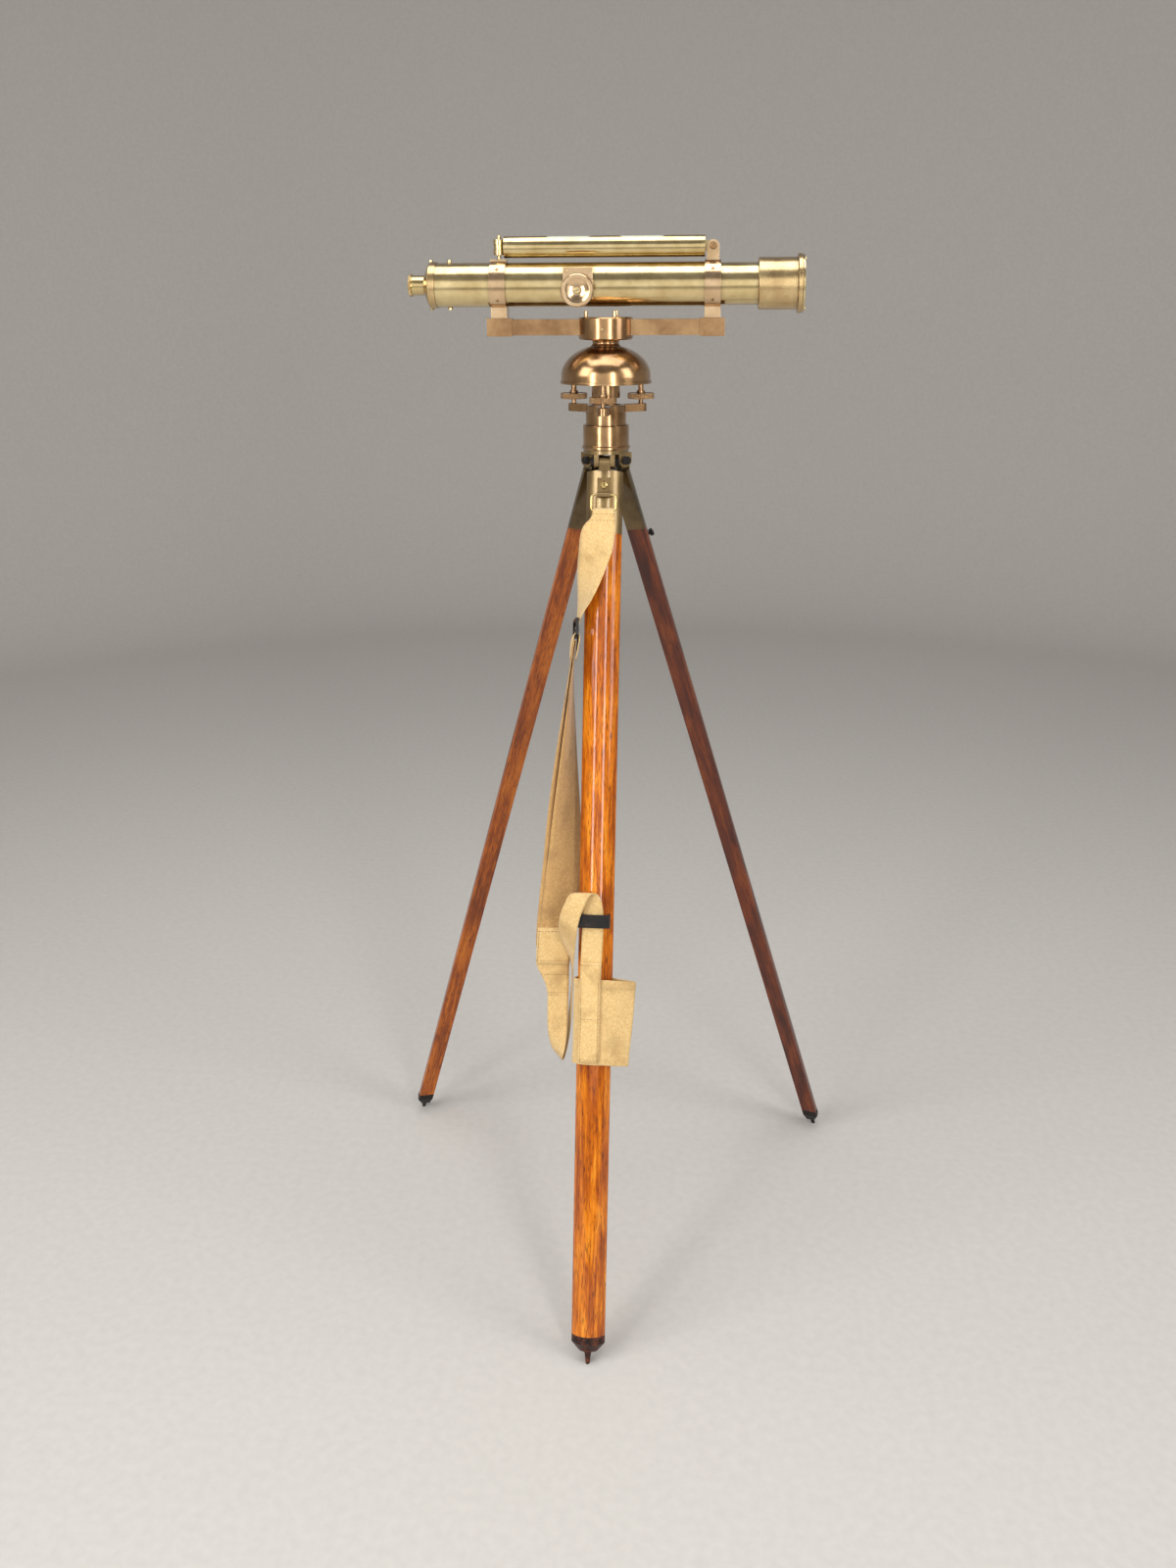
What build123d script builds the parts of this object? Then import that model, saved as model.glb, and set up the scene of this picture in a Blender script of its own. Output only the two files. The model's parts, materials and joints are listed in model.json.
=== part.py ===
# Surveyor's dumpy level on a solid-leg folding tripod, millimetres, +Z up.
# The origin lies on the floor under the middle of the tripod head.
# The line of sight is along X, the eyepiece at -X and the objective at +X.
# The front leg points along -Y.
import os
from math import asin, atan, cos, pi, radians, sin, sqrt, tan

from build123d import *

os.makedirs("parts", exist_ok=True)

# Tripod legs
leg_length = 1100.0
leg_spread = 18.0
pole_radius_top = 27.0
pole_radius_foot = 23.5
fold_gap = 0.4
leg_front_azimuth = -90.0
leg_pitch_angle = 120.0
cap_length = 92.0
cap_wall = 1.4
cap_top_drop = 11.5
tenon_gap = 3.0
shoe_length = 33.0
shoe_wall = 1.4
spike_length = 24.0
shoe_taper = 11.0
shoe_taper_inset = 9.0
shoe_taper_flat = 3.0
spike_root_radius = 6.0
spike_tip_radius = 2.2
foot_point_share = 0.55

# Hinges of the tripod head
hinge_radius = 21.0
bolt_radius = 3.2
bolt_head_radius = 5.6
bolt_head_height = 5.0
tongue_width = 14.0
tongue_radius = 8.0
tongue_neck = 6.4
ear_radius = 9.0
ear_thickness = 6.0
hinge_side_gap = 0.3
running_gap = 0.08
seat_gap = 0.05
post_gap = 0.2
cut_reach = 9.0

# Tripod head and its threaded socket
head_plate_radius = 29.0
head_plate_thickness = 5.0
head_plate_rise = 10.0
head_spigot_radius = 21.0
head_spigot_height = 9.0
socket_radius = 29.5
socket_bore_radius = 24.4
socket_height = 31.0
socket_bead_radius = 31.0
socket_bead_height = 5.0

# Tribrach with its three arms
tribrach_boss_radius = 26.0
tribrach_boss_height = 15.0
tribrach_thread_length = 20.0
arm_thickness = 10.0
arm_width = 15.0
arm_hub_radius = 25.0
arm_recess_radius = 19.5
arm_recess_depth = 4.0

# Foot screws
ball_radius = 4.0
ball_lift = 6.0
ball_cup_gap = 0.3
screw_neck_radius = 3.0
screw_disc_radius = 16.5
screw_disc_thickness = 6.0
screw_disc_rise = 6.5
screw_collar_radius = 5.5
screw_collar_height = 4.0
screw_shaft_radius = 3.5
screw_shaft_into_dome = 9.0
front_hole_gap = 1.4

# Bell-shaped dome with the bearing for the vertical spindle
dome_radius = 57.0
dome_height = 46.0
dome_rim_lip = 1.5
screw_set_in = 7.0
dome_rim_radius = dome_radius + dome_rim_lip
foot_screw_circle = dome_radius - screw_set_in
dome_rim_height = 3.0
dome_rim_rise = 27.5
dome_wall = 4.0
dome_boss_radius = 6.4
dome_boss_height = 11.0
dome_wall_height = 9.0
housing_radius = 18.0
housing_drop = 18.5
spindle_top_radius = 10.5
spindle_foot_radius = 8.0
retainer_radius = 13.0
retainer_thickness = 2.0
retainer_screw_radius = 6.0
retainer_screw_height = 2.5
retainer_shank_radius = 3.0
retainer_shank_length = 14.0

# Limb, the horizontal bar with a round hub
neck_height = 8.0
neck_foot_radius = 19.5
neck_waist_radius = 17.0
neck_top_radius = 20.0
hub_radius = 34.5
hub_height = 28.0
flange_radius = 29.0
flange_thickness = 7.0
limb_screw_circle = 25.0
limb_screw_radius = 1.8
limb_screw_head_radius = 2.6
limb_screw_head_height = 7.5
bar_height = 18.0
bar_depth = 20.0
bar_lift = 6.5
step_length = 6.0
step_height = 20.0
step_depth = 23.0
block_length = 31.0
block_height = 22.5
block_depth = 26.0
edge_round = 1.5

# Telescope
collar_reach = 134.0
collar_width = 20.0
collar_thickness = 2.6
collar_post_depth = 24.0
sight_above_hub = 40.0
tube_radius = 27.5
tube_wall = 1.3
tube_eye_end = -213.0
tube_set_back = 1.0
eye_plate_radius = 28.8
eye_plate_length = 15.5
eye_plate_dome = 6.0
eye_plate_spigot = 8.0
eye_plate_wall = 3.0
eyepiece_radius = 12.4
eyepiece_wall = 1.4
eyepiece_rim_radius = 13.4
eyepiece_rim_length = 4.0
eyepiece_out = 21.0
eyepiece_in = 27.0
eyepiece_travel = 6.0
eyepiece_lip = 2.0
eye_lens_edge = 2.0
eye_lens_thickness = 5.0
eye_lens_set_in = 8.0
reticle_station = -197.5
reticle_radius = 22.0
reticle_bore = 11.0
reticle_thickness = 6.0
capstan_radius = 3.0
capstan_height = 3.4
capstan_bite = 3.0
capstan_shank_radius = 1.6
draw_clearance = 0.1
draw_wall = 1.2
draw_inner_end = -88.0
focus_in = 38.0
focus_out = 20.0
cell_start = 190.0
cell_length = 48.0
cell_radius = 32.2
cell_wall = 1.8
cell_back = 3.0
ring_radius = 36.6
ring_length = 6.5
ring_bore_radius = 27.5
ring_spigot = 5.0
lens_edge = 3.0
lens_bulge = 4.0
lens_station = 224.0
cap_disc_radius = 35.6
cap_disc_thickness = 2.0
cap_disc_bulge = 2.6
cap_plug_length = 5.0
cap_plug_wall = 1.2

# Rack, pinion and focusing knob
gear_module = 1.0
pinion_teeth = 12
pressure_angle = 20.0
pinion_addendum = 0.75
rack_addendum = 0.65
tooth_dedendum = 1.1
tooth_backlash = 0.32
pinion_face = 3.6
pinion_station = -32.0
pinion_drop = 7.0
pinion_depth = -23.6
pinion_shaft_radius = 2.8
rack_height = 6.5
rack_depth = 3.6
rack_run = 4.0
rack_back = 3.0
rack_root_sink = 0.1
pinion_box_width = 37.0
pinion_box_height = 38.0
pinion_box_face = 33.5
pinion_box_lift = 8.5
knob_radius = 20.0
knob_thickness = 9.0
knob_shaft_depth = 3.0
knob_stand = 38.0
knob_dish_radius = 15.5
knob_dish_depth = 4.0
knob_bowl_steps = 5
knob_hub_radius = 7.0

# Bubble tube above the telescope
bubble_rise = 46.0
bubble_radius = 13.5
bubble_wall = 1.3
bubble_eye_gap = 10.0
bubble_tongue_gap = 13.0
window_start = 17.0
window_length = 58.0
window_width = 15.0
plug_depth = 14.0
plug_flange = 3.0
vial_radius = 11.0
vial_end_gap = 6.0
vial_shoulder = 3.0
lug_eye_radius = 6.5
lug_eye_height = 6.0
lug_neck_radius = 2.8
stud_radius = 2.5
stud_play = 0.6
stud_rise = 5.0
nut_radius = 7.0
nut_height = 6.5
nut_gap = 0.1
tongue_half = 4.6
fork_gap = 0.4
fork_cheek = 4.0
fork_head_radius = 7.5
pivot_radius = 2.5
pivot_head_radius = 4.6
pivot_head_height = 2.2

# Sling hardware and webbing on the front leg
lug_width = 17.0
lug_height = 22.0
lug_plate = 2.4
lug_station = 22.0
lug_barrel_radius = 3.2
lug_barrel_out = 9.4
lug_screw_drop = 9.0
loop_wire_radius = 1.6
loop_width = 31.0
loop_height = 20.0
loop_corner = 4.0
lug_screw_radius = 5.2
lug_screw_shoulder = 4.4
lug_screw_crown = 2.1
lug_screw_height = 3.2
route_unit = 1.0
half_turn = 180
sling_gap = 0.4
sling_width = 50.0
sling_tab_width = 28.0
sling_shoulder_width = 38.0
sling_lift = 1.0
sling_thickness = 2.4
doubled_thickness = 5.4
sling_end_width = 35.0
tail_width = 26.0
tail_thickness = 2.4
buckle_width = 60.0
buckle_height = 24.0
buckle_station = 213.0
buckle_side = 33.0
buckle_out = 3.0
buckle_turn = 81.0
bend_radius = 12.0
bend_station = 716.0
bend_side = 49.0
bend_out = 27.0
bend_drift = 1.0
bend_steps = 6
buckle_wire = 3.6
buckle_tongue_width = 4.0
band_station = 574.0
band_width = 16.0
band_thickness = 1.6
band_out = 12.2
band_left = 21.0
band_right = 18.0
band_post = 3.0
sleeve_start = 645.0
sleeve_length = 102.0
sleeve_wall = 2.2
sleeve_round = 3.0

# Strap stud on the outside of the right leg
strap_stud_station = 108.0
strap_stud_radius = 2.2
strap_stud_reach = 8.0
strap_stud_head_radius = 5.0
strap_stud_head = 3.0

# Sizes that follow from the driving sizes
spread = radians(leg_spread)
point_offset = foot_point_share * pole_radius_foot - hinge_radius
hinge_z = leg_length * cos(spread) - point_offset * sin(spread)
head_plate_z = hinge_z + head_plate_rise
socket_z = head_plate_z + head_plate_thickness
socket_top_z = socket_z + socket_height
arm_z = socket_top_z + tribrach_boss_height
arm_top_z = arm_z + arm_thickness
ball_z = arm_z + ball_lift
disc_z = arm_top_z + screw_disc_rise
rim_z = arm_top_z + dome_rim_rise
dome_top_z = rim_z + dome_height
housing_z = rim_z - housing_drop
hub_z = dome_top_z + nut_gap * 4 + neck_height
hub_top_z = hub_z + hub_height
sight_z = hub_top_z + sight_above_hub
bubble_z = sight_z + bubble_rise
bubble_start = bubble_eye_gap - collar_reach
bubble_end = collar_reach - bubble_tongue_gap
bar_length = collar_reach - block_length / 2 - step_length + edge_round
tube_objective_end = collar_reach + collar_width / 2 - tube_set_back
tube_bore = tube_radius - tube_wall
draw_radius = tube_bore - draw_clearance
pinion_z = sight_z - pinion_drop
pitch_radius = gear_module * pinion_teeth / 2
pitch_line_z = pinion_z + pitch_radius


def pole_radius(station):
    """Radius of the folded pole at a distance below the hinges."""
    share = station / leg_length
    return pole_radius_top + (pole_radius_foot - pole_radius_top) * share


def leg_plane(azimuth):
    """Plane at a hinge: local x outward from the leg, local z up the leg."""
    a = radians(azimuth)
    outward = Vector(cos(a), sin(a), 0)
    up = Vector(0, 0, 1)
    origin = outward * hinge_radius + up * hinge_z
    along = up * cos(spread) - outward * sin(spread)
    side = outward * cos(spread) + up * sin(spread)
    return Plane(origin=origin, x_dir=side, z_dir=along)


def lathe(origin, direction, outline, mode=Mode.ADD):
    """Turn an outline of (distance along, radius) pairs about a line."""
    start = Vector(*origin)
    line = Vector(*direction)
    side = Vector(0, 0, 1) if abs(line.Z) < 0.9 else Vector(0, -1, 0)
    with BuildSketch(Plane(origin=start, x_dir=line, z_dir=line.cross(side))) as profile:
        with BuildLine():
            Polyline(*outline, close=True)
        make_face()
    revolve(profile.sketch, axis=Axis(start, line), mode=mode)


def rod(origin, direction, radius, near, far, mode=Mode.ADD):
    """A plain round bar between two distances along a line."""
    lathe(origin, direction, [(near, 0), (near, radius), (far, radius), (far, 0)], mode)


def pipe(origin, direction, outer, inner, near, far, mode=Mode.ADD):
    """A plain round tube between two distances along a line."""
    lathe(origin, direction, [(near, inner), (near, outer), (far, outer), (far, inner)], mode)


def block(x_span, y_span, z_span, mode=Mode.ADD):
    """A rectangular block between two values on each axis."""
    width = x_span[1] - x_span[0]
    depth = y_span[1] - y_span[0]
    middle = (x_span[0] + width / 2, y_span[0] + depth / 2, z_span[0])
    with BuildSketch(Plane(origin=middle)) as base:
        Rectangle(width, depth)
    extrude(base.sketch, amount=z_span[1] - z_span[0], mode=mode)


def cap_rise(radius, bulge):
    """Height of a spherical cap above its rim, halfway out from its middle."""
    sphere = (radius ** 2 + bulge ** 2) / (2 * bulge)
    return bulge - sphere + sqrt(sphere ** 2 - (radius / 2) ** 2)


def save(piece, name):
    """Label a finished piece and write it to its own file."""
    piece.label = name
    export_step(piece, f"parts/{name}.step")


def wedge(plane, station, radius, inset):
    """Face of a third of the pole, drawn in from its neighbours by an inset."""
    apex = inset / sin(radians(leg_pitch_angle / 2))
    half = radians(leg_pitch_angle / 2) - asin(inset / radius)
    corner = (radius * cos(half) - hinge_radius, radius * sin(half))
    mirrored = (corner[0], -corner[1])
    with BuildSketch(plane.offset(-station)) as face:
        with BuildLine():
            Line((apex - hinge_radius, 0), corner)
            ThreePointArc(corner, (radius - hinge_radius, 0), mirrored)
            Line(mirrored, (apex - hinge_radius, 0))
        make_face()
    return face.sketch


# Lines that several pieces turn about
vertical = (0, 0, 1)
sight = (1, 0, 0)
across = (0, -1, 0)
sight_origin = (0, 0, sight_z)
bubble_origin = (0, 0, bubble_z)
pinion_origin = (pinion_station, 0, pinion_z)
screw_azimuths = {"front": -90.0, "left": 150.0, "right": 30.0}


def screw_foot(azimuth):
    """Point on the floor plane under a foot screw."""
    a = radians(azimuth)
    return (foot_screw_circle * cos(a), foot_screw_circle * sin(a), 0)


# Tripod head: round plate, spigot and three pairs of hinge ears
ear_inner = tongue_width / 2 + hinge_side_gap
ear_outer = ear_inner + ear_thickness
with BuildPart() as tripod_head:
    rod((0, 0, 0), vertical, head_plate_radius, head_plate_z, socket_z)
    rod((0, 0, 0), vertical, head_spigot_radius, socket_z, socket_z + head_spigot_height)
    for azimuth in screw_azimuths.values():
        a = radians(azimuth)
        outward = Vector(cos(a), sin(a), 0)
        tangent = Vector(-sin(a), cos(a), 0)
        hinge = outward * hinge_radius + Vector(0, 0, hinge_z)
        for side in (-1, 1):
            face = hinge + tangent * (side * ear_inner)
            with BuildSketch(Plane(origin=face, x_dir=outward, z_dir=tangent * side)) as ear:
                Circle(ear_radius)
                with Locations((0, -side * head_plate_rise / 2)):
                    Rectangle(2 * ear_radius, head_plate_rise)
                Circle(bolt_radius + seat_gap, mode=Mode.SUBTRACT)
            extrude(ear.sketch, amount=ear_thickness)
save(tripod_head.part, "tripod_head")

# Hinge bolts with round heads, and the nuts on their other ends
with BuildPart() as hinge_bolts:
    for azimuth in screw_azimuths.values():
        a = radians(azimuth)
        hinge = (hinge_radius * cos(a), hinge_radius * sin(a), hinge_z)
        tangent = (-sin(a), cos(a), 0)
        head = -ear_outer - bolt_head_height
        lathe(hinge, tangent, [
            (head, 0),
            (head, bolt_head_radius),
            (-ear_outer, bolt_head_radius),
            (-ear_outer, bolt_radius),
            (ear_outer + bolt_head_height, bolt_radius),
            (ear_outer + bolt_head_height, 0),
        ])
save(hinge_bolts.part, "hinge_bolts")

with BuildPart() as hinge_nuts:
    for azimuth in screw_azimuths.values():
        a = radians(azimuth)
        tangent = Vector(-sin(a), cos(a), 0)
        outward = Vector(cos(a), sin(a), 0)
        seat = outward * hinge_radius + tangent * ear_outer + Vector(0, 0, hinge_z)
        with BuildSketch(Plane(origin=seat, x_dir=outward, z_dir=tangent)) as nut:
            RegularPolygon(bolt_head_radius, 6)
            Circle(bolt_radius + seat_gap, mode=Mode.SUBTRACT)
        extrude(nut.sketch, amount=bolt_head_height - 1)
save(hinge_nuts.part, "hinge_nuts")

# Socket on the tripod head that the level screws into
with BuildPart() as head_socket:
    lathe((0, 0, 0), vertical, [
        (socket_z, head_spigot_radius + seat_gap),
        (socket_z, socket_bead_radius - 1),
        (socket_z + 1, socket_bead_radius),
        (socket_z + socket_bead_height - 1, socket_bead_radius),
        (socket_z + socket_bead_height, socket_radius),
        (socket_top_z - 1, socket_radius),
        (socket_top_z, socket_radius - 1),
        (socket_top_z, socket_bore_radius),
        (socket_z + head_spigot_height, socket_bore_radius),
        (socket_z + head_spigot_height, head_spigot_radius + seat_gap),
    ])
save(head_socket.part, "head_socket")

# Tribrach: threaded boss below, three arms with cups for the foot screws above
thread_radius = socket_bore_radius - seat_gap
with BuildPart() as tribrach:
    lathe((0, 0, 0), vertical, [
        (socket_top_z - tribrach_thread_length, 0),
        (socket_top_z - tribrach_thread_length, thread_radius - 1),
        (socket_top_z - tribrach_thread_length + 1, thread_radius),
        (socket_top_z, thread_radius),
        (socket_top_z, tribrach_boss_radius),
        (arm_z, tribrach_boss_radius),
        (arm_z, 0),
    ])
    with BuildSketch(Plane.XY.offset(arm_z)) as star:
        Circle(arm_hub_radius)
        for azimuth in screw_azimuths.values():
            with Locations(Location((0, 0, 0), (0, 0, azimuth))):
                with Locations((foot_screw_circle / 2, 0)):
                    Rectangle(foot_screw_circle, arm_width)
                with Locations((foot_screw_circle, 0)):
                    Circle(arm_width / 2)
    extrude(star.sketch, amount=arm_thickness)
    chamfer(tribrach.faces().sort_by(Axis.Z)[-1].outer_wire().edges(), edge_round / 2)
    rod((0, 0, 0), vertical, arm_recess_radius, arm_top_z - arm_recess_depth, arm_top_z, Mode.SUBTRACT)
    for azimuth in screw_azimuths.values():
        cup_floor = ball_z - ball_radius - ball_cup_gap
        rod(screw_foot(azimuth), vertical, ball_radius + ball_cup_gap, cup_floor, arm_top_z, Mode.SUBTRACT)
save(tribrach.part, "tribrach")


def foot_screw(azimuth):
    """Milled disc on a shaft, with a ball end that stands in its cup."""
    foot = screw_foot(azimuth)
    shaft_end = rim_z + screw_shaft_into_dome
    collar_z = disc_z + screw_disc_thickness
    with BuildPart() as screw:
        ball_flat = sqrt(ball_radius ** 2 - screw_neck_radius ** 2)
        with BuildSketch(Plane(origin=(foot[0], foot[1], ball_z), x_dir=(0, 0, 1), z_dir=(1, 0, 0))) as ball:
            with BuildLine():
                Line((-ball_radius, 0), (ball_flat, 0))
                Line((ball_flat, 0), (ball_flat, screw_neck_radius))
                ThreePointArc((ball_flat, screw_neck_radius), (0, ball_radius), (-ball_radius, 0))
            make_face()
        revolve(ball.sketch, axis=Axis((foot[0], foot[1], ball_z), (0, 0, 1)))
        lathe(foot, vertical, [
            (ball_z, 0),
            (ball_z, screw_neck_radius),
            (disc_z, screw_neck_radius),
            (disc_z, screw_disc_radius - 1),
            (disc_z + 1, screw_disc_radius),
            (collar_z - 1, screw_disc_radius),
            (collar_z, screw_disc_radius - 1),
            (collar_z, screw_collar_radius),
            (collar_z + screw_collar_height, screw_collar_radius),
            (collar_z + screw_collar_height, screw_shaft_radius),
            (shaft_end, screw_shaft_radius),
            (shaft_end, 0),
        ])
    return screw.part


for side, azimuth in screw_azimuths.items():
    save(foot_screw(azimuth), f"{side}_foot_screw")

# Dome: bell with a turned rim, a tapered bearing and three bosses for the screws


crown_rise = (dome_height - dome_wall_height) / sqrt(1 - (neck_foot_radius / dome_radius) ** 2)


def dome_profile(inward):
    """Face of half the bell, moved inward to make the hollow."""
    radius = dome_radius - inward
    rise = crown_rise - inward
    shoulder_z = rim_z + dome_wall_height
    with BuildSketch(Plane.XZ) as half:
        with BuildLine():
            Line((0, rim_z), (radius, rim_z))
            Line((radius, rim_z), (radius, shoulder_z))
            EllipticalCenterArc((0, shoulder_z), radius, rise, start_angle=0, arc_size=90)
            Line((0, shoulder_z + rise), (0, rim_z))
        make_face()
    return half.sketch


with BuildPart() as levelling_dome:
    revolve(dome_profile(0), axis=Axis.Z)
    revolve(dome_profile(dome_wall), axis=Axis.Z, mode=Mode.SUBTRACT)
    for azimuth in screw_azimuths.values():
        rod(screw_foot(azimuth), vertical, dome_boss_radius, rim_z, rim_z + dome_boss_height)
    rod((0, 0, 0), vertical, housing_radius, housing_z, dome_top_z)
    rod((0, 0, 0), vertical, dome_radius, dome_top_z, dome_top_z + dome_height, Mode.SUBTRACT)
    pipe((0, 0, 0), vertical, dome_rim_radius, dome_radius - dome_wall, rim_z, rim_z + dome_rim_height)
    lathe((0, 0, 0), vertical, [
        (housing_z, 0),
        (housing_z, spindle_foot_radius + running_gap),
        (dome_top_z, spindle_top_radius + running_gap),
        (dome_top_z, 0),
    ], Mode.SUBTRACT)
    for side, azimuth in screw_azimuths.items():
        play = front_hole_gap if side == "front" else running_gap
        top = rim_z + dome_boss_height
        rod(screw_foot(azimuth), vertical, screw_shaft_radius + play, rim_z, top, Mode.SUBTRACT)
save(levelling_dome.part, "levelling_dome")

# Vertical spindle: tapered shaft, waisted neck and the flange that carries the limb
neck_z = hub_z - neck_height
with BuildPart() as vertical_spindle:
    lathe((0, 0, 0), vertical, [
        (housing_z - nut_gap, 0),
        (housing_z - nut_gap, spindle_foot_radius),
        (dome_top_z, spindle_top_radius),
        (neck_z, spindle_top_radius),
        (neck_z, 0),
    ])
    with BuildSketch(Plane.XZ) as neck:
        with BuildLine():
            Line((0, neck_z), (neck_foot_radius, neck_z))
            ThreePointArc(
                (neck_foot_radius, neck_z),
                (neck_waist_radius, neck_z + neck_height / 2),
                (neck_top_radius, hub_z),
            )
            Line((neck_top_radius, hub_z), (0, hub_z))
            Line((0, hub_z), (0, neck_z))
        make_face()
    revolve(neck.sketch, axis=Axis.Z)
    rod((0, 0, 0), vertical, flange_radius, hub_z, hub_z + flange_thickness)
    rod((0, 0, 0), vertical, retainer_shank_radius + seat_gap,
        housing_z - 1, housing_z + retainer_shank_length, Mode.SUBTRACT)
    for azimuth in screw_azimuths.values():
        a = radians(azimuth + leg_pitch_angle / 2)
        at = (limb_screw_circle * cos(a + pi / 2), limb_screw_circle * sin(a + pi / 2), 0)
        rod(at, vertical, limb_screw_radius + seat_gap, hub_z, hub_z + flange_thickness, Mode.SUBTRACT)
save(vertical_spindle.part, "vertical_spindle")

# Washer and screw that hold the spindle down in the dome
washer_z = housing_z - nut_gap - retainer_thickness
with BuildPart() as spindle_retainer:
    rod((0, 0, 0), vertical, retainer_radius, washer_z, housing_z - nut_gap)
    rod((0, 0, 0), vertical, retainer_screw_radius, washer_z - retainer_screw_height, washer_z)
    rod((0, 0, 0), vertical, retainer_shank_radius, washer_z, housing_z + retainer_shank_length - 1)
save(spindle_retainer.part, "spindle_retainer")

# Limb: hub, two bars, steps and end blocks
bar_z = hub_z + bar_lift
bar_mid_z = bar_z + bar_height / 2
with BuildPart() as limb:
    rod((0, 0, 0), vertical, hub_radius, hub_z, hub_top_z)
    chamfer(limb.edges().filter_by(GeomType.CIRCLE), edge_round)
    for reach, height, depth in (
        (bar_length, bar_height, bar_depth),
        (bar_length + step_length, step_height, step_depth),
    ):
        block((-reach, reach), (-depth / 2, depth / 2), (bar_mid_z - height / 2, bar_mid_z + height / 2))
    inner = bar_length + step_length - edge_round
    for side in (-1, 1):
        near = side * inner
        far = side * (inner + block_length)
        block((min(near, far), max(near, far)), (-block_depth / 2, block_depth / 2),
              (bar_mid_z - block_height / 2, bar_mid_z + block_height / 2))
    rod((0, 0, 0), vertical, flange_radius + seat_gap, hub_z, hub_z + flange_thickness, Mode.SUBTRACT)
    for azimuth in screw_azimuths.values():
        a = radians(azimuth + leg_pitch_angle / 2) + pi / 2
        at = (limb_screw_circle * cos(a), limb_screw_circle * sin(a), 0)
        rod(at, vertical, limb_screw_radius + seat_gap, hub_z, hub_top_z, Mode.SUBTRACT)
save(limb.part, "limb")

# Three tall capstan screws that hold the limb on the spindle flange
with BuildPart() as limb_screws:
    for azimuth in screw_azimuths.values():
        a = radians(azimuth + leg_pitch_angle / 2) + pi / 2
        at = (limb_screw_circle * cos(a), limb_screw_circle * sin(a), 0)
        rod(at, vertical, limb_screw_radius, hub_z + 1, hub_top_z + 1)
        rod(at, vertical, limb_screw_head_radius, hub_top_z, hub_top_z + limb_screw_head_height)
save(limb_screws.part, "limb_screws")

# Collars that clamp the telescope to the limb
block_top_z = bar_mid_z + block_height / 2
collar_radius = tube_radius + collar_thickness
pad_top_z = sight_z + collar_radius + 1
half_width = collar_width / 2
fork_inner = tongue_half + fork_gap
fork_outer = fork_inner + fork_cheek


def collar(middle):
    """Band round the tube on a square post."""
    span = (middle - half_width, middle + half_width)
    rod(sight_origin, sight, collar_radius, *span)
    block(span, (-collar_post_depth / 2, collar_post_depth / 2), (block_top_z, sight_z - tube_radius / 2))


with BuildPart() as left_collar:
    collar(-collar_reach)
    block((-collar_reach - half_width, -collar_reach + half_width),
          (-half_width, half_width), (sight_z + tube_radius - 2, pad_top_z))
    rod(sight_origin, sight, tube_radius + seat_gap, -collar_reach - half_width - 1,
        -collar_reach + half_width + 1, Mode.SUBTRACT)
    rod((-collar_reach, 0, 0), vertical, stud_radius + seat_gap,
        sight_z + tube_radius - 2, pad_top_z, Mode.SUBTRACT)
save(left_collar.part, "left_collar")

with BuildPart() as right_collar:
    collar(collar_reach)
    for side in (-1, 1):
        near = side * fork_inner
        far = side * fork_outer
        block((collar_reach - fork_head_radius, collar_reach + fork_head_radius),
              (min(near, far), max(near, far)), (sight_z + tube_radius - 2, bubble_z))
        start = min(near, far)
        rod((collar_reach, start, bubble_z), (0, 1, 0), fork_head_radius, 0, fork_cheek)
    rod(sight_origin, sight, tube_radius + seat_gap, collar_reach - half_width - 1,
        collar_reach + half_width + 1, Mode.SUBTRACT)
    rod((collar_reach, 0, bubble_z), (0, 1, 0), pivot_radius + seat_gap,
        -fork_outer - 1, fork_outer + 1, Mode.SUBTRACT)
save(right_collar.part, "right_collar")

# Body tube with the opening for the pinion
with BuildPart() as main_tube:
    pipe(sight_origin, sight, tube_radius, tube_bore, tube_eye_end, tube_objective_end)
    pinion_outer = pitch_radius + pinion_addendum * gear_module
    rod(pinion_origin, across, pinion_outer + 1, 0, tube_radius + 1, Mode.SUBTRACT)
    rod((reticle_station, 0, sight_z), vertical, capstan_shank_radius + seat_gap,
        -tube_radius - 1, tube_radius + 1, Mode.SUBTRACT)
save(main_tube.part, "main_tube")

# Domed end plate with the sleeve that the eyepiece slides in
plate_start = tube_eye_end - eye_plate_length
sleeve_bore = eyepiece_radius + running_gap
sleeve_outer = sleeve_bore + eye_plate_wall
spigot_radius = tube_bore - seat_gap
with BuildPart() as eye_end_plate:
    lathe(sight_origin, sight, [
        (plate_start, sleeve_bore),
        (plate_start, sleeve_outer),
        (plate_start + eye_plate_dome, eye_plate_radius - 1),
        (plate_start + eye_plate_dome + 1, eye_plate_radius),
        (tube_eye_end, eye_plate_radius),
        (tube_eye_end, spigot_radius),
        (tube_eye_end + eye_plate_spigot, spigot_radius),
        (tube_eye_end + eye_plate_spigot, spigot_radius - eye_plate_wall),
        (tube_eye_end, spigot_radius - eye_plate_wall),
        (tube_eye_end, sleeve_outer),
        (tube_eye_end + eye_plate_spigot, sleeve_outer),
        (tube_eye_end + eye_plate_spigot, sleeve_bore),
    ])
save(eye_end_plate.part, "eye_end_plate")

# Reticle ring inside the tube and the two capstan screws that set it
with BuildPart() as reticle_ring:
    pipe(sight_origin, sight, reticle_radius, reticle_bore,
         reticle_station - reticle_thickness / 2, reticle_station + reticle_thickness / 2)
    rod((reticle_station, 0, sight_z), vertical, capstan_shank_radius + seat_gap,
        -reticle_radius - 1, reticle_radius + 1, Mode.SUBTRACT)
save(reticle_ring.part, "reticle_ring")

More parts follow.
